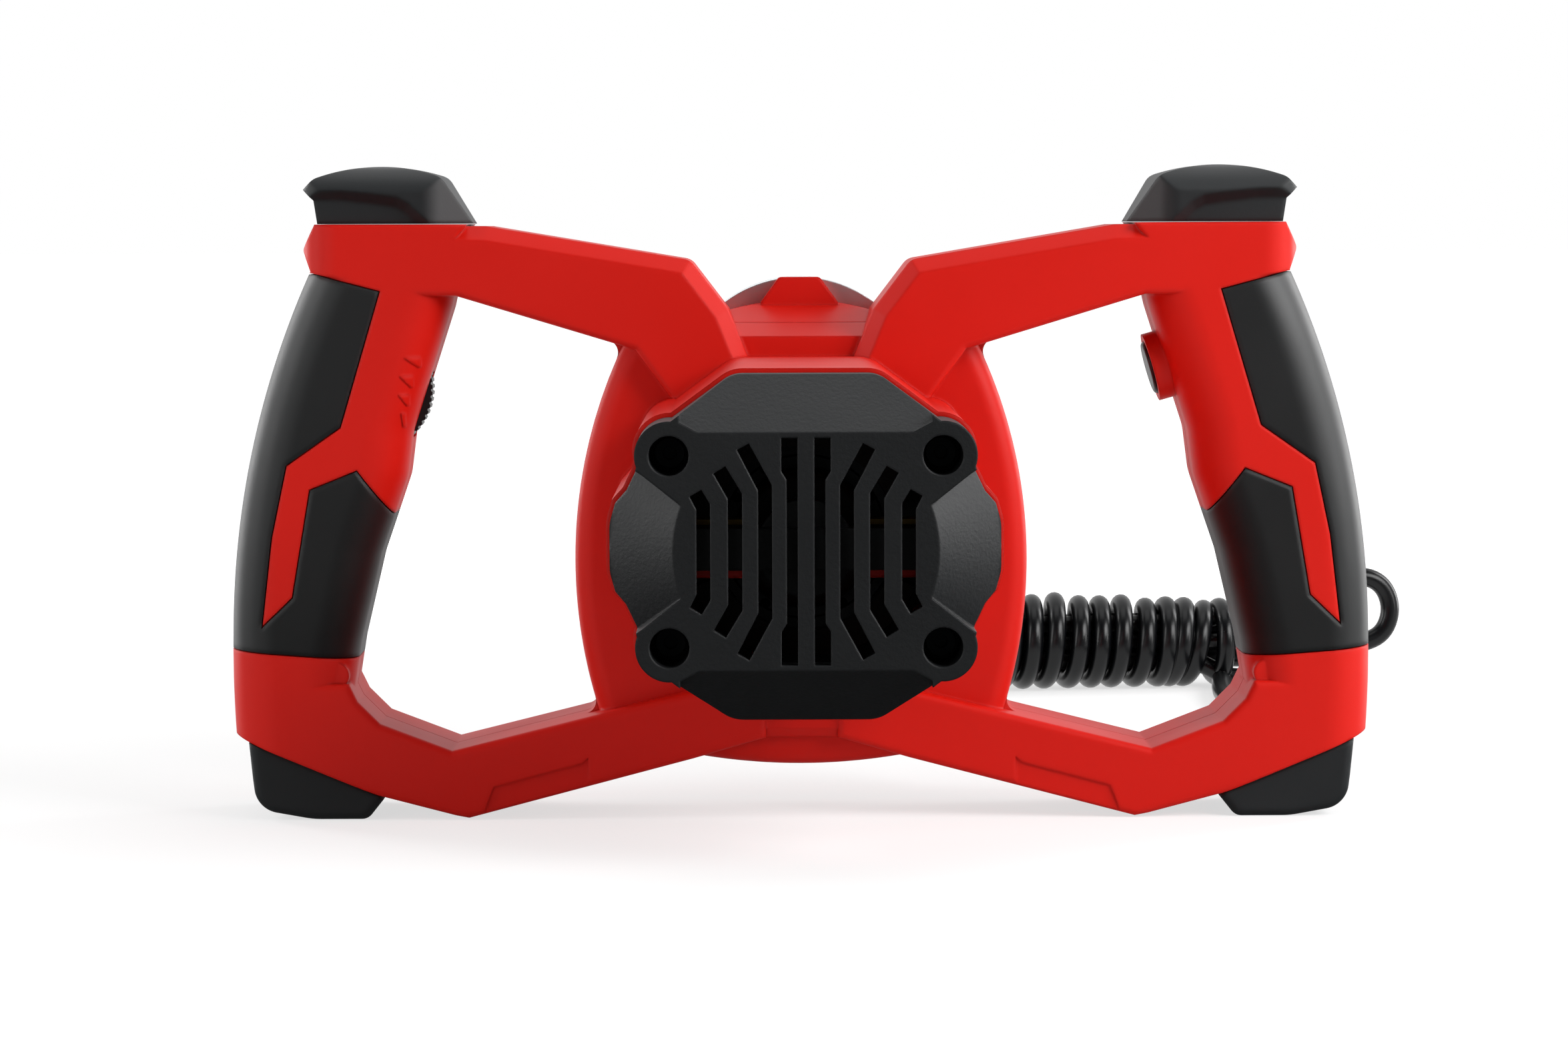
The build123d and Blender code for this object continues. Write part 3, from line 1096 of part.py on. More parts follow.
# ---------------------------------------------------------------- files
save(motor_side, "motor_side_shell")
save(gear_side, "gear_side_shell")
save(cap, "motor_cap")
save_group(cap_screw_set, "cap_screws")
save_group(frame_screw_set, "shell_screws")
save(grip, "grip_right")
save(left(grip), "grip_left")
save(bumper, "bumper_right")
save(left(bumper), "bumper_left")
save(foot, "foot_right")
save(left(foot), "foot_left")
save(button, "switch_button")
save(switch_body, "switch_body")
save(dial, "speed_dial")
save(potentiometer, "speed_potentiometer")
save_group([board, triac], "speed_board")
save(housing, "gearbox_housing")
save(plate, "gearbox_plate")
save_group(gearbox_screw_set, "gearbox_screws")
save_group(plate_screw_set, "plate_screws")
save(spindle, "output_spindle")
save(output_gear, "output_gear")
save(layshaft, "layshaft")
save(first_gear, "first_stage_gear")
save(armature_shaft, "armature_shaft")
save(armature_core, "armature_core")
save_group(windings, "armature_windings")
save(commutator, "commutator")
save(fan, "cooling_fan")
save(cap_ring, "cap_bearing")
save(motor_ring, "motor_bearing")
save(lay_rear_ring, "layshaft_rear_bearing")
save(lay_front_ring, "layshaft_front_bearing")
save(spindle_rear_ring, "spindle_rear_bearing")
save(nose_ring, "spindle_nose_bearing")
save(circlip, "nose_circlip")
save(seal, "spindle_seal")
save(stator, "stator_core")
save_group(coils, "field_coils")
save_group([holder, left(holder)], "brush_holders")
save_group([brush, left(brush)], "carbon_brushes")
save_group([brush_spring, left(brush_spring)], "brush_springs")
save(sleeve, "strain_relief")
save(jacket, "cord_jacket_end")
save(clamp, "cord_clamp")
save_group(clamp_screw_set, "cord_clamp_screws")
save_group(lead_wires, "inner_leads")
save(cord_lead, "cord_lead")
save(hank, "cord_hank")
save(plug, "plug_body")
save_group(plug_pins, "plug_pins")
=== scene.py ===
"""Dresses the twin-handle mixer head: studio, mains cord and finishes.

Lengths are in metres, in the part's own frame: X to the right seen from the motor cap,
Y along the spindle away from the cap, Z up from the floor.
"""

import json
from math import cos, pi, radians, sin

import bmesh
import bpy
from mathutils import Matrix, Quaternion, Vector


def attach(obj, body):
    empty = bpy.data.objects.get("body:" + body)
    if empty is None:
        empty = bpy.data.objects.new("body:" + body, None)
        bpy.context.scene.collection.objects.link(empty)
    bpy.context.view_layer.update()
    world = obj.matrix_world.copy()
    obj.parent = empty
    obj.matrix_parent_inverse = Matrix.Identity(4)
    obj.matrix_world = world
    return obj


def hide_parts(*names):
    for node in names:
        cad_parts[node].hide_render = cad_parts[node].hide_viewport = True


bl_info = {
    "name": "Twin-handle mixer head",
    "version": (1, 0, 0),
    "blender": (4, 5, 0),
    "location": "View3D > Sidebar > Mixer head",
    "description": "Studio, mains cord and finishes of a twin-handle mixer head",
    "category": "Object",
}

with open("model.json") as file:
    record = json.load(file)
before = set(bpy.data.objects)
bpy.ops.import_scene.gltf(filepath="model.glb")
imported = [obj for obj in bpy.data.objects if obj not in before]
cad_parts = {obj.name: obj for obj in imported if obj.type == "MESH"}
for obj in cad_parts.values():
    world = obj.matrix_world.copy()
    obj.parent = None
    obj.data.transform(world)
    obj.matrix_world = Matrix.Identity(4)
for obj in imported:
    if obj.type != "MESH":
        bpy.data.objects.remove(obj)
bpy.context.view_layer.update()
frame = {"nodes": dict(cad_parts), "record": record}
MM = 0.001


def linear(hex_colour):
    """Linear RGB of an sRGB hex colour."""
    channels = [int(hex_colour[at:at + 2], 16) / 255 for at in (1, 3, 5)]
    return tuple(c / 12.92 if c <= 0.04045 else ((c + 0.055) / 1.055) ** 2.4 for c in channels)


# ------------------------------------------------------------------ settings
class MixerCord(bpy.types.PropertyGroup):
    diameter: bpy.props.FloatProperty(
        name="Cord diameter", description="Outside of the rubber jacket", default=7.5 * MM,
        min=4 * MM, max=12 * MM, unit="LENGTH")
    length: bpy.props.FloatProperty(
        name="Cord length", description="From the strain relief to the plug", default=2.8,
        min=1.0, max=5.0, unit="LENGTH")
    wrap_radius: bpy.props.FloatProperty(
        name="Wrap radius", description="Centreline radius of the first wound turn",
        default=13.6 * MM, min=10 * MM, max=30 * MM, unit="LENGTH")
    wrap_growth: bpy.props.FloatProperty(
        name="Wrap growth", description="How much wider the last turn is than the first",
        default=2.8 * MM, min=0, max=10 * MM, unit="LENGTH")
    wrap_pitch: bpy.props.FloatProperty(
        name="Wrap pitch", description="Distance from one turn to the next", default=9.1 * MM,
        min=7 * MM, max=20 * MM, unit="LENGTH")
    wraps: bpy.props.IntProperty(
        name="Wraps", description="Turns round the hank's core", default=14, min=3, max=30)
    heading: bpy.props.FloatProperty(
        name="Hank heading", description="Turn of the hank on the floor", default=radians(7.0),
        subtype="ANGLE")


class MixerColours(bpy.types.PropertyGroup):
    housing: bpy.props.FloatVectorProperty(
        name="Housing", description="Moulded frame and motor barrel", subtype="COLOR", size=3,
        min=0, max=1, default=linear("#c6160b"))
    cap: bpy.props.FloatVectorProperty(
        name="Motor cap", description="Vented cap", subtype="COLOR", size=3,
        min=0, max=1, default=linear("#121416"))
    grip: bpy.props.FloatVectorProperty(
        name="Grips", description="Soft grip inlays", subtype="COLOR", size=3,
        min=0, max=1, default=linear("#0f1112"))
    bumper: bpy.props.FloatVectorProperty(
        name="Bumpers and feet", description="Rubber caps and feet", subtype="COLOR", size=3,
        min=0, max=1, default=linear("#181b1d"))
    jacket: bpy.props.FloatVectorProperty(
        name="Cord", description="Rubber jacket of the cord and plug", subtype="COLOR", size=3,
        min=0, max=1, default=linear("#060709"))


class MixerStudio(bpy.types.PropertyGroup):
    lens: bpy.props.FloatProperty(
        name="Lens", description="Focal length in millimetres", default=93.76, min=20, max=300)
    camera_place: bpy.props.FloatVectorProperty(
        name="Camera", description="Where the camera stands", subtype="TRANSLATION", size=3,
        default=(-0.014358, -1.296309, 0.189215))
    camera_target: bpy.props.FloatVectorProperty(
        name="Target", description="What the camera looks at", subtype="TRANSLATION", size=3,
        default=(-0.005308, 0.0, 0.091742))
    camera_roll: bpy.props.FloatProperty(
        name="Roll", description="Turn about the line of sight", default=radians(-0.18),
        subtype="ANGLE")
    ambient: bpy.props.FloatProperty(
        name="Ambient", description="Level of the even light round the object", default=0.24,
        min=0, max=2)


def settings():
    return bpy.context.scene.mixer_head


# ------------------------------------------------------------------ materials
# the Mix node's colour sockets share their names with its number sockets, so they go by place
MIX_FACTOR, MIX_A, MIX_B, MIX_RESULT = 0, 6, 7, 2
NOISE_SPREAD = (0.3, 0.7)      # nearly all of a noise's values lie between these
RUBBER_CAPS = ("bumper_left", "bumper_right", "foot_left", "foot_right")


def add_node(material, kind, inputs=None, **options):
    """Adds a node with its settings; inputs maps socket names to values or other sockets."""
    tree = material.node_tree
    new = tree.nodes.new(kind)
    for name, value in options.items():
        setattr(new, name, value)
    for name, value in (inputs or {}).items():
        if isinstance(value, bpy.types.NodeSocket):
            tree.links.new(value, new.inputs[name])
        else:
            new.inputs[name].default_value = value
    return new


def new_material(name):
    """An empty node material with its output node."""
    material = bpy.data.materials.new(name)
    material.use_nodes = True
    material.node_tree.nodes.clear()
    return material, add_node(material, "ShaderNodeOutputMaterial")


def per_metre(size_mm):
    """A noise scale whose features are about that many millimetres across."""
    return 1.0 / (size_mm * MM)


def shaded(name, colour, roughness, metallic=0.0, ior=1.5, grain_mm=0.9, grain_depth_mm=0.02,
           edge_mm=0.5, blotch_mm=35.0, blotch=0.05, rough_spread=0.06, extra=None):
    """A solid finish: soft edges, a fine grain, and colour and gloss that drift a little."""
    material, output = new_material(name)
    where = add_node(material, "ShaderNodeTexCoord").outputs["Object"]
    drift = add_node(material, "ShaderNodeTexNoise", {
        "Vector": where, "Scale": per_metre(blotch_mm), "Detail": 3.0}).outputs["Fac"]
    dark = tuple(c * (1 - blotch) for c in colour) + (1.0,)
    light = tuple(min(1.0, c * (1 + blotch)) for c in colour) + (1.0,)
    tint = add_node(material, "ShaderNodeMix", {
        MIX_FACTOR: drift, MIX_A: dark, MIX_B: light}, data_type="RGBA")
    gloss = add_node(material, "ShaderNodeMapRange", {
        "Value": drift, "From Min": NOISE_SPREAD[0], "From Max": NOISE_SPREAD[1],
        "To Min": roughness - rough_spread / 2, "To Max": roughness + rough_spread / 2})
    # real moulded and blasted grain is near 0.1 mm: it is drawn coarser, so that it shows
    grain = add_node(material, "ShaderNodeTexNoise", {
        "Vector": where, "Scale": per_metre(grain_mm), "Detail": 2.0, "Roughness": 0.6})
    soft = add_node(material, "ShaderNodeBevel", {"Radius": edge_mm * MM}, samples=4)
    bump = add_node(material, "ShaderNodeBump", {
        "Height": grain.outputs["Fac"], "Distance": grain_depth_mm * MM, "Strength": 1.0,
        "Normal": soft.outputs["Normal"]})
    shader = add_node(material, "ShaderNodeBsdfPrincipled", {
        "Base Color": tint.outputs[MIX_RESULT], "Metallic": metallic, "IOR": ior,
        "Roughness": gloss.outputs["Result"], "Normal": bump.outputs["Normal"]})
    for socket, value in (extra or {}).items():
        shader.inputs[socket].default_value = value
    material.node_tree.links.new(shader.outputs["BSDF"], output.inputs["Surface"])
    return material


finishes_made = {}


def material_for(slot):
    """The finish of one of the record's material slots, or of the rubber caps, made once."""
    if slot in finishes_made:
        return finishes_made[slot]
    colours = settings().colours
    if slot == "red_plastic":
        # ABS from a spark-eroded mould: satin, with a fine even grain and a weak shine
        made = shaded("moulded_abs_red", tuple(colours.housing), 0.46, ior=1.53, grain_mm=0.7,
                      grain_depth_mm=0.012, edge_mm=1.6, blotch=0.02,
                      extra={"Specular IOR Level": 0.15})
    elif slot == "dark_plastic":
        # glass-filled nylon from a leather-grained mould: matt, with visible pebbles
        made = shaded("grained_nylon_dark", tuple(colours.cap), 0.54, ior=1.53, grain_mm=1.2,
                      grain_depth_mm=0.10, edge_mm=0.9, blotch=0.06,
                      extra={"Specular IOR Level": 0.4})
    elif slot == "soft_rubber":
        # thermoplastic rubber moulded over the handles: matt, nearly without grain, with
        # generous rounded edges that catch the light
        made = shaded("overmoulded_tpe_grey", tuple(colours.grip), 0.5, ior=1.5, grain_mm=0.6,
                      grain_depth_mm=0.015, edge_mm=2.2, blotch=0.05,
                      extra={"Specular IOR Level": 0.6})
    elif slot == "rubber_cap":
        # compression-moulded rubber: matt dark grey with rounded edges that catch the light
        made = shaded("moulded_rubber_dark", tuple(colours.bumper), 0.56, ior=1.5, grain_mm=0.8,
                      grain_depth_mm=0.02, edge_mm=2.0, blotch=0.05,
                      extra={"Specular IOR Level": 0.5})
    elif slot == "black_plastic":
        # POM, moulded and plain: black with a soft shine
        made = shaded("moulded_pom_black", linear("#17181a"), 0.4, ior=1.48, edge_mm=0.3)
    elif slot == "cord_jacket":
        # extruded rubber jacket: black, faintly uneven, with a weak shine
        made = shaded("extruded_rubber_black", tuple(colours.jacket), 0.3, ior=1.52,
                      grain_mm=1.4, grain_depth_mm=0.02, edge_mm=0.3, blotch=0.1,
                      extra={"Specular IOR Level": 0.3})
    elif slot == "cast_aluminium":
        # die-cast aluminium, bead blasted: pale grey metal, sparkle broken up by the grain
        made = shaded("blasted_aluminium", linear("#eef4f6"), 0.34, metallic=1.0,
                      grain_mm=0.8, grain_depth_mm=0.03, edge_mm=0.5)
    elif slot == "steel":
        # turned and ground steel: bright, with a very fine grain
        made = shaded("ground_steel", linear("#b9bbbe"), 0.26, metallic=1.0, grain_mm=0.5,
                      grain_depth_mm=0.006, edge_mm=0.2)
    elif slot == "dark_steel":
        # case-hardened steel, oiled black: dark metal with a soft shine
        made = shaded("oiled_black_steel", linear("#303234"), 0.4, metallic=1.0, edge_mm=0.2)
    elif slot == "screw_steel":
        # zinc-plated steel: grey, slightly milky metal
        made = shaded("zinc_plated_steel", linear("#8c8f92"), 0.38, metallic=1.0, edge_mm=0.15)
    elif slot == "lamination":
        # stacked electrical sheet: dull dark metal
        made = shaded("stacked_sheet_steel", linear("#6a6b6e"), 0.5, metallic=1.0, edge_mm=0.1)
    elif slot == "copper":
        # copper wire coloured nearly black as painted shade for the dark inside of the motor,
        # with a warm glassy shine
        made = shaded("copper_wire_painted_shade", linear("#2a1a12"), 0.34, ior=1.5, grain_mm=0.8,
                      grain_depth_mm=0.08, edge_mm=0.2)
    elif slot == "brass":
        # pressed brass sheet: yellow metal
        made = shaded("pressed_brass", linear("#c6a45a"), 0.32, metallic=1.0, edge_mm=0.15)
    elif slot == "carbon":
        # pressed carbon: sooty black, almost no shine
        made = shaded("pressed_carbon", linear("#1c1c1d"), 0.7, ior=1.45, edge_mm=0.2)
    elif slot == "circuit_board":
        # glass-fibre board under green lacquer
        made = shaded("lacquered_board_green", linear("#1e5a36"), 0.3, ior=1.5, edge_mm=0.1)
    else:
        raise ValueError("no finish for slot " + slot)
    finishes_made[slot] = made
    return made


# ------------------------------------------------------------------ meshes
def mesh_from(made, name):
    """A finished mesh from a bmesh, with its normals outwards."""
    bmesh.ops.remove_doubles(made, verts=made.verts, dist=1e-6)
    bmesh.ops.recalc_face_normals(made, faces=made.faces)
    mesh = bpy.data.meshes.new(name)
    made.to_mesh(mesh)
    made.free()
    return mesh


# ------------------------------------------------------------------ stage
SHADOW_CENTRE = (0.03, 0.12, 0.0)    # the middle of what stands and lies on the floor
SHADOW_REACH = (0.32, 0.75)    # from here the paper turns to plain white, up to there
PAPER_GLOW = 0.66              # the paper's own light inside that reach
PAPER_SHADE = 0.34             # the part of its white that a shadow can take away
PAPER_BOUNCE = 0.75            # the share of the light that it throws back at the object
ROOM_EDGE = (-0.05, 0.25)      # reflections turn from the dark room to the white backdrop
ROOM_GLOW = 0.04
FLOOR_HALF_WIDTH = 20.0
WHITE = (1, 1, 1, 1)


def behind_object(holder, vector):
    """White for a place or direction on the far side, falling to a dark room on the near side."""
    parts = add_node(holder, "ShaderNodeSeparateXYZ", {"Vector": vector})
    ramp = add_node(holder, "ShaderNodeMapRange", {
        "Value": parts.outputs["Y"], "From Min": ROOM_EDGE[0], "From Max": ROOM_EDGE[1],
        "To Min": ROOM_GLOW, "To Max": 1.0})
    return ramp.outputs["Result"]


class MIXER_OT_stage(bpy.types.Operator):
    """Camera, floor, even light and soft lamps."""
    bl_idname = "mixer.stage"
    bl_label = "Studio"

    def execute(self, context):
        studio = settings().studio
        self.camera(context, studio)
        self.floor()
        self.world(context, studio)
        self.lamps(context)
        context.scene.view_settings.view_transform = "Standard"
        return {"FINISHED"}

    def camera(self, context, studio):
        """The camera, a little below the top of the machine and rolled slightly."""
        data = bpy.data.cameras.new("camera")
        data.lens = studio.lens
        data.sensor_width = 36.0
        data.sensor_fit = "HORIZONTAL"
        data.clip_start = 0.05
        data.clip_end = 60.0
        camera = bpy.data.objects.new("camera", data)
        context.scene.collection.objects.link(camera)
        place = Vector(studio.camera_place)
        aim = Vector(studio.camera_target) - place
        camera.rotation_mode = "QUATERNION"
        roll = Quaternion((0, 0, 1), studio.camera_roll)
        camera.rotation_quaternion = aim.to_track_quat("-Z", "Y") @ roll
        camera.location = place
        context.scene.camera = camera

    def floor(self):
        """White paper that keeps the object's shadow."""
        made = bmesh.new()
        bmesh.ops.create_grid(made, x_segments=1, y_segments=1, size=FLOOR_HALF_WIDTH)
        mesh = mesh_from(made, "floor")
        floor = bpy.data.objects.new("floor", mesh)
        bpy.context.scene.collection.objects.link(floor)
        # matt white studio paper: the eye sees white with the object's soft shadow, and away
        # from the object the paper glows by itself, so it meets the white behind it
        material, output = new_material("white_paper")
        path = add_node(material, "ShaderNodeLightPath")
        where = add_node(material, "ShaderNodeTexCoord").outputs["Object"]
        away = add_node(material, "ShaderNodeVectorMath", {0: where, 1: SHADOW_CENTRE},
                        operation="DISTANCE")
        strength = add_node(material, "ShaderNodeMapRange", {
            "Value": away.outputs["Value"],
            "From Min": SHADOW_REACH[0], "From Max": SHADOW_REACH[1],
            "To Min": PAPER_GLOW, "To Max": 1.0})
        paper = add_node(material, "ShaderNodeBsdfDiffuse", {
            "Color": (PAPER_BOUNCE, PAPER_BOUNCE, PAPER_BOUNCE, 1)})
        mirrored = add_node(material, "ShaderNodeEmission", {
            "Strength": behind_object(material, where)})
        lit = add_node(material, "ShaderNodeMixShader", {
            0: path.outputs["Is Glossy Ray"], 1: paper.outputs["BSDF"],
            2: mirrored.outputs["Emission"]})
        tint = add_node(material, "ShaderNodeBsdfDiffuse", {
            "Color": (PAPER_SHADE, PAPER_SHADE, PAPER_SHADE, 1)})
        glow = add_node(material, "ShaderNodeEmission", {"Strength": strength.outputs["Result"]})
        both = add_node(material, "ShaderNodeAddShader", {
            0: tint.outputs["BSDF"], 1: glow.outputs["Emission"]})
        mixed = add_node(material, "ShaderNodeMixShader", {
            0: path.outputs["Is Camera Ray"], 1: lit.outputs["Shader"],
            2: both.outputs["Shader"]})
        material.node_tree.links.new(mixed.outputs["Shader"], output.inputs["Surface"])
        mesh.materials.append(material)

    def world(self, context, studio):
        """A white backdrop, an even light, and for reflections a room dark on the near side."""
        world = bpy.data.worlds.new("studio")
        world.use_nodes = True
        world.node_tree.nodes.clear()
        output = add_node(world, "ShaderNodeOutputWorld")
        path = add_node(world, "ShaderNodeLightPath")
        direction = add_node(world, "ShaderNodeTexCoord").outputs["Generated"]
        seen = add_node(world, "ShaderNodeMath", {
            0: path.outputs["Is Camera Ray"], 1: path.outputs["Is Transmission Ray"]},
            operation="MAXIMUM")
        even = add_node(world, "ShaderNodeBackground", {
            "Color": WHITE, "Strength": studio.ambient})
        mirrored = add_node(world, "ShaderNodeBackground", {
            "Color": WHITE, "Strength": behind_object(world, direction)})
        white = add_node(world, "ShaderNodeBackground", {"Color": WHITE, "Strength": 1.0})
        lit = add_node(world, "ShaderNodeMixShader", {
            0: path.outputs["Is Glossy Ray"], 1: even.outputs["Background"],
            2: mirrored.outputs["Background"]})
        mixed = add_node(world, "ShaderNodeMixShader", {
            0: seen.outputs["Value"], 1: lit.outputs["Shader"],
            2: white.outputs["Background"]})
        world.node_tree.links.new(mixed.outputs["Shader"], output.inputs["Surface"])
        context.scene.world = world

    def lamps(self, context):
        """Soft boxes: a key from the right, a weak fill, one above, two beside, two behind."""
        lamps = (              # name, place, aim, width, height, watts
            ("key_box", (0.86, -0.62, 0.72), (0.0, -0.03, 0.09), 0.6, 0.6, 11.5),
            ("top_box", (0.0, 0.1, 1.3), (0.0, 0.0, 0.1), 1.0, 0.7, 3.0),
            ("fill_box", (-0.75, -1.0, 0.28), (0.0, -0.03, 0.09), 0.5, 0.5, 1.5),
            ("left_side", (-1.05, -0.25, 0.45), (-0.15, 0.0, 0.1), 0.3, 0.8, 4.0),
            ("right_side", (1.05, -0.2, 0.45), (0.15, 0.0, 0.1), 0.3, 0.8, 5.0),
            ("right_rim", (0.9, 0.6, 0.4), (0.15, 0.0, 0.1), 0.25, 0.9, 6.0),
            ("left_rim", (-0.9, 0.6, 0.4), (-0.15, 0.0, 0.1), 0.25, 0.9, 5.0),
        )
        for name, place, aim, width, height, watts in lamps:
            data = bpy.data.lights.new(name, "AREA")
            data.shape = "RECTANGLE"
            data.size = width
            data.size_y = height
            data.energy = watts
            lamp = bpy.data.objects.new(name, data)
            context.scene.collection.objects.link(lamp)
            lamp.location = place
            turn = Vector(aim) - Vector(place)
            lamp.rotation_euler = turn.to_track_quat("-Z", "Y").to_euler()


# ------------------------------------------------------------------ cord
HANK_START = Vector((40 * MM, 322 * MM, 0))    # the left end of the hank, on the floor
FLOOR_LINE = 3.85              # height of the cord's middle where it lies on the floor, mm
RADIUS_DRIFT = 0.3 * MM        # the turns are wound by hand: they differ a little in size
PITCH_DRIFT = 0.5 * MM         # and in their distance
RADIUS_SWING, RADIUS_SHIFT = 2.3, 1.0    # how these drift from turn to turn, in radians
PITCH_SWING = 1.9
# from the strain relief to the hank, in the part's own frame, mm
LEAD_POINTS = [
    (160.0, 64.15, 38.5), (160.1, 92.0, 38.2), (160.9, 120.0, 29.5), (162.0, 146.0, 15.8),
    (163.6, 172.0, 5.4), (165.4, 200.0, FLOOR_LINE), (166.3, 229.0, FLOOR_LINE),
    (166.4, 258.0, FLOOR_LINE), (167.2, 287.0, FLOOR_LINE), (170.0, 312.0, FLOOR_LINE)]
STEPS_PER_TURN = 12
# where along the hank the first turns stand, one value for each half turn from the floor up, mm
FIRST_TURNS = [134.0, 132.8, 131.5, 126.5, 117.5, 119.2, 112.0, 111.0, 106.8]
# along the hank, across it away from the machine, and up, mm
INTO_CORE = [(13, 11, 6.5), (6, 17.5, 12.5), (-3, 18, 21), (-9, 13, 27.5), (-8, 6, 29),
             (0, 2, 26), (11, 3, 21)]
BOW_SHOWN = [(150, 3, 28), (173, 2, 41.5), (192, 1, 44), (201, 0.5, 40), (204.5, 0, 30),
             (201, -0.5, 20), (192, 0, 16), (173, 2, 12.5), (148, 3.2, 10.5)]
LEFT_END_LOW = [(8, 5, 10.5), (-2, 8.5, 8), (-11, 12.5, 6), (-20, 12, 5), (-26, 5, 4.5),
                (-26, -5, 4.5), (-20, -12, 5), (-11, -12.5, 6), (-2, -8.5, 8), (8, -5, 10.5)]
BOW_FRONT = [(128, -6, 8), (135, -8.5, 3.9), (147, -9.5, 4.5), (160, -9, 10), (168, -8, 21),
             (166, -7, 32), (155, -6, 37), (140, -4.5, 31)]
LEFT_END_HIGH = [(8, -5, 27.5), (-2, -8.5, 30), (-11, -12.5, 33), (-20, -12, 35), (-26, -5, 35.5),
                 (-26, 5, 35.5), (-20, 12, 36), (-11, 12.5, 36), (-2, 8.5, 33), (8, 5, 28)]
BOW_LYING = [(134, 7, 27), (146, 12, 27.5), (157, 12.5, 26.5), (165, 6, 25.5), (165, -5, 24),
             (157, -12, 22), (146, -12, 20.5), (134, -7, 19)]
TO_PLUG = [(8, -1.5, 18.75), (-4, 0, 18.75), (-14, 0, 18.75)]
# the six runs inside the turns stand in two columns of three, mm
STRAND_SIDE = 3.6
STRAND_LOW, STRAND_MIDDLE, STRAND_HIGH = 11.75, 18.75, 25.75
STRAND_STOPS = (24, 56, 88, 120)


def strand(side, height, rightwards):
    """One straight run of the core, between its two ends."""
    run = [(along, side, height) for along in STRAND_STOPS]
    return run if rightwards else list(reversed(run))


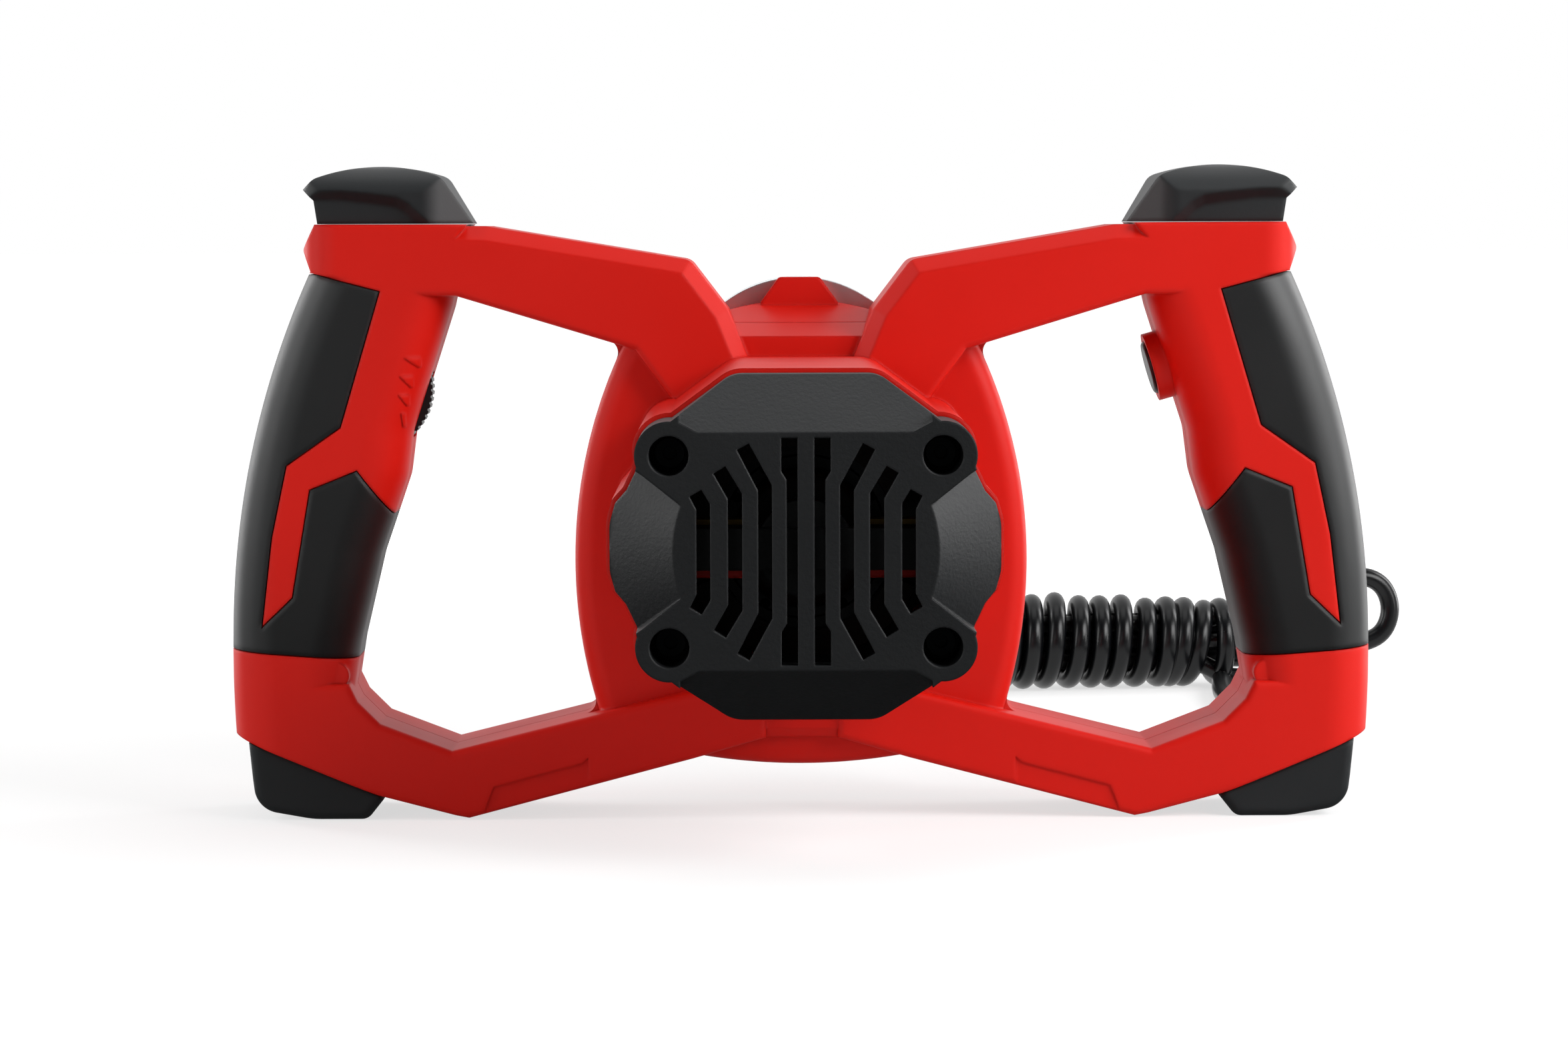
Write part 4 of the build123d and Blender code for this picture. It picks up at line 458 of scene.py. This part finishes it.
class MIXER_OT_cord(bpy.types.Operator):
    """The mains cord: its lead, the wound hank and the tail to the plug."""
    bl_idname = "mixer.cord"
    bl_label = "Mains cord"

    def hank_point(self, along, across, height):
        """A point of the hank: along its axis, across it away from the machine, and up."""
        turn = settings().cord.heading
        return Vector((HANK_START.x + along * cos(turn) - across * sin(turn),
                       HANK_START.y + along * sin(turn) + across * cos(turn), height))

    def winding(self, cord):
        """The turns, each resting on the floor and a little wider than the one before."""
        drawn_in = cos(pi / STEPS_PER_TURN)        # the line runs inside its control points
        points = []
        for step in range(cord.wraps * STEPS_PER_TURN + 1):
            turns = step / STEPS_PER_TURN
            angle = 2 * pi * turns - pi / 2
            radius = cord.wrap_radius + cord.wrap_growth * turns / cord.wraps
            radius += RADIUS_DRIFT * sin(RADIUS_SWING * turns + RADIUS_SHIFT)
            centre = radius + FLOOR_LINE * MM
            halves = min(int(2 * turns), len(FIRST_TURNS) - 2)
            here, there = FIRST_TURNS[halves], FIRST_TURNS[halves + 1]
            along = (here + (there - here) * min(2 * turns - halves, 1.0)) * MM
            along -= max(2 * turns - len(FIRST_TURNS) + 1, 0.0) * cord.wrap_pitch / 2
            along += PITCH_DRIFT * sin(PITCH_SWING * turns)
            points.append(self.hank_point(
                along, radius / drawn_in * cos(angle), centre + radius / drawn_in * sin(angle)))
        return points

    def route(self, cord):
        """The line's points: the lead, the turns, then the runs inside them and their ends."""
        core = (INTO_CORE + strand(STRAND_SIDE, STRAND_MIDDLE, True) + BOW_SHOWN
                + strand(STRAND_SIDE, STRAND_LOW, False) + LEFT_END_LOW
                + strand(-STRAND_SIDE, STRAND_LOW, True) + BOW_FRONT
                + strand(-STRAND_SIDE, STRAND_HIGH, False) + LEFT_END_HIGH
                + strand(STRAND_SIDE, STRAND_HIGH, True) + BOW_LYING
                + strand(-STRAND_SIDE, STRAND_MIDDLE, False) + TO_PLUG)
        return ([Vector(point) * MM for point in LEAD_POINTS] + self.winding(cord)
                + [self.hank_point(*(Vector(point) * MM)) for point in core])

    def execute(self, context):
        cord = settings().cord
        curve = bpy.data.curves.new("mains_cord", "CURVE")
        curve.dimensions = "3D"
        curve.bevel_depth = cord.diameter / 2
        curve.bevel_resolution = 6
        curve.resolution_u = 6
        curve.use_fill_caps = True
        spline = curve.splines.new("NURBS")
        points = self.route(cord)
        spline.points.add(len(points) - 1)
        for spot, point in zip(spline.points, points):
            spot.co = (*point, 1.0)
        spline.order_u = 3
        spline.use_endpoint_u = True
        piece = bpy.data.objects.new("mains_cord", curve)
        context.scene.collection.objects.link(piece)
        curve.materials.append(material_for("cord_jacket"))
        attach(piece, "frame")
        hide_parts("cord_lead", "cord_hank")
        return {"FINISHED"}


# ------------------------------------------------------------------ finishes
class MIXER_OT_finishes(bpy.types.Operator):
    """Gives every carried-over part the finish of its material slot."""
    bl_idname = "mixer.finishes"
    bl_label = "Finishes"

    def execute(self, context):
        slots = {entry["node"]: entry["material_slot"] for entry in frame["record"]["subparts"]}
        for name, part in frame["nodes"].items():
            finish = material_for("rubber_cap" if name in RUBBER_CAPS else slots[name])
            for slot in part.material_slots:
                slot.material = finish
        return {"FINISHED"}


class MixerHead(bpy.types.PropertyGroup):
    cord: bpy.props.PointerProperty(type=MixerCord)
    colours: bpy.props.PointerProperty(type=MixerColours)
    studio: bpy.props.PointerProperty(type=MixerStudio)


class MIXER_PT_panel(bpy.types.Panel):
    """Sizes, colours and the steps that dress the mixer head."""
    bl_idname = "MIXER_PT_panel"
    bl_label = "Mixer head"
    bl_space_type = "VIEW_3D"
    bl_region_type = "UI"
    bl_category = "Mixer head"

    def draw(self, context):
        head = settings()
        for group in (head.cord, head.colours, head.studio):
            box = self.layout.box()
            for name in group.__annotations__:
                box.prop(group, name)
        for step in STEPS:
            self.layout.operator(step.bl_idname)


STEPS = (MIXER_OT_stage, MIXER_OT_cord, MIXER_OT_finishes)
CLASSES = (MixerCord, MixerColours, MixerStudio, MixerHead, *STEPS, MIXER_PT_panel)


def register():
    for kind in CLASSES:
        bpy.utils.register_class(kind)
    bpy.types.Scene.mixer_head = bpy.props.PointerProperty(type=MixerHead)


def unregister():
    del bpy.types.Scene.mixer_head
    for kind in reversed(CLASSES):
        bpy.utils.unregister_class(kind)


def main():
    register()
    for step in STEPS:
        group, name = step.bl_idname.split(".")
        getattr(getattr(bpy.ops, group), name)()


if __name__ == "__main__":
    main()
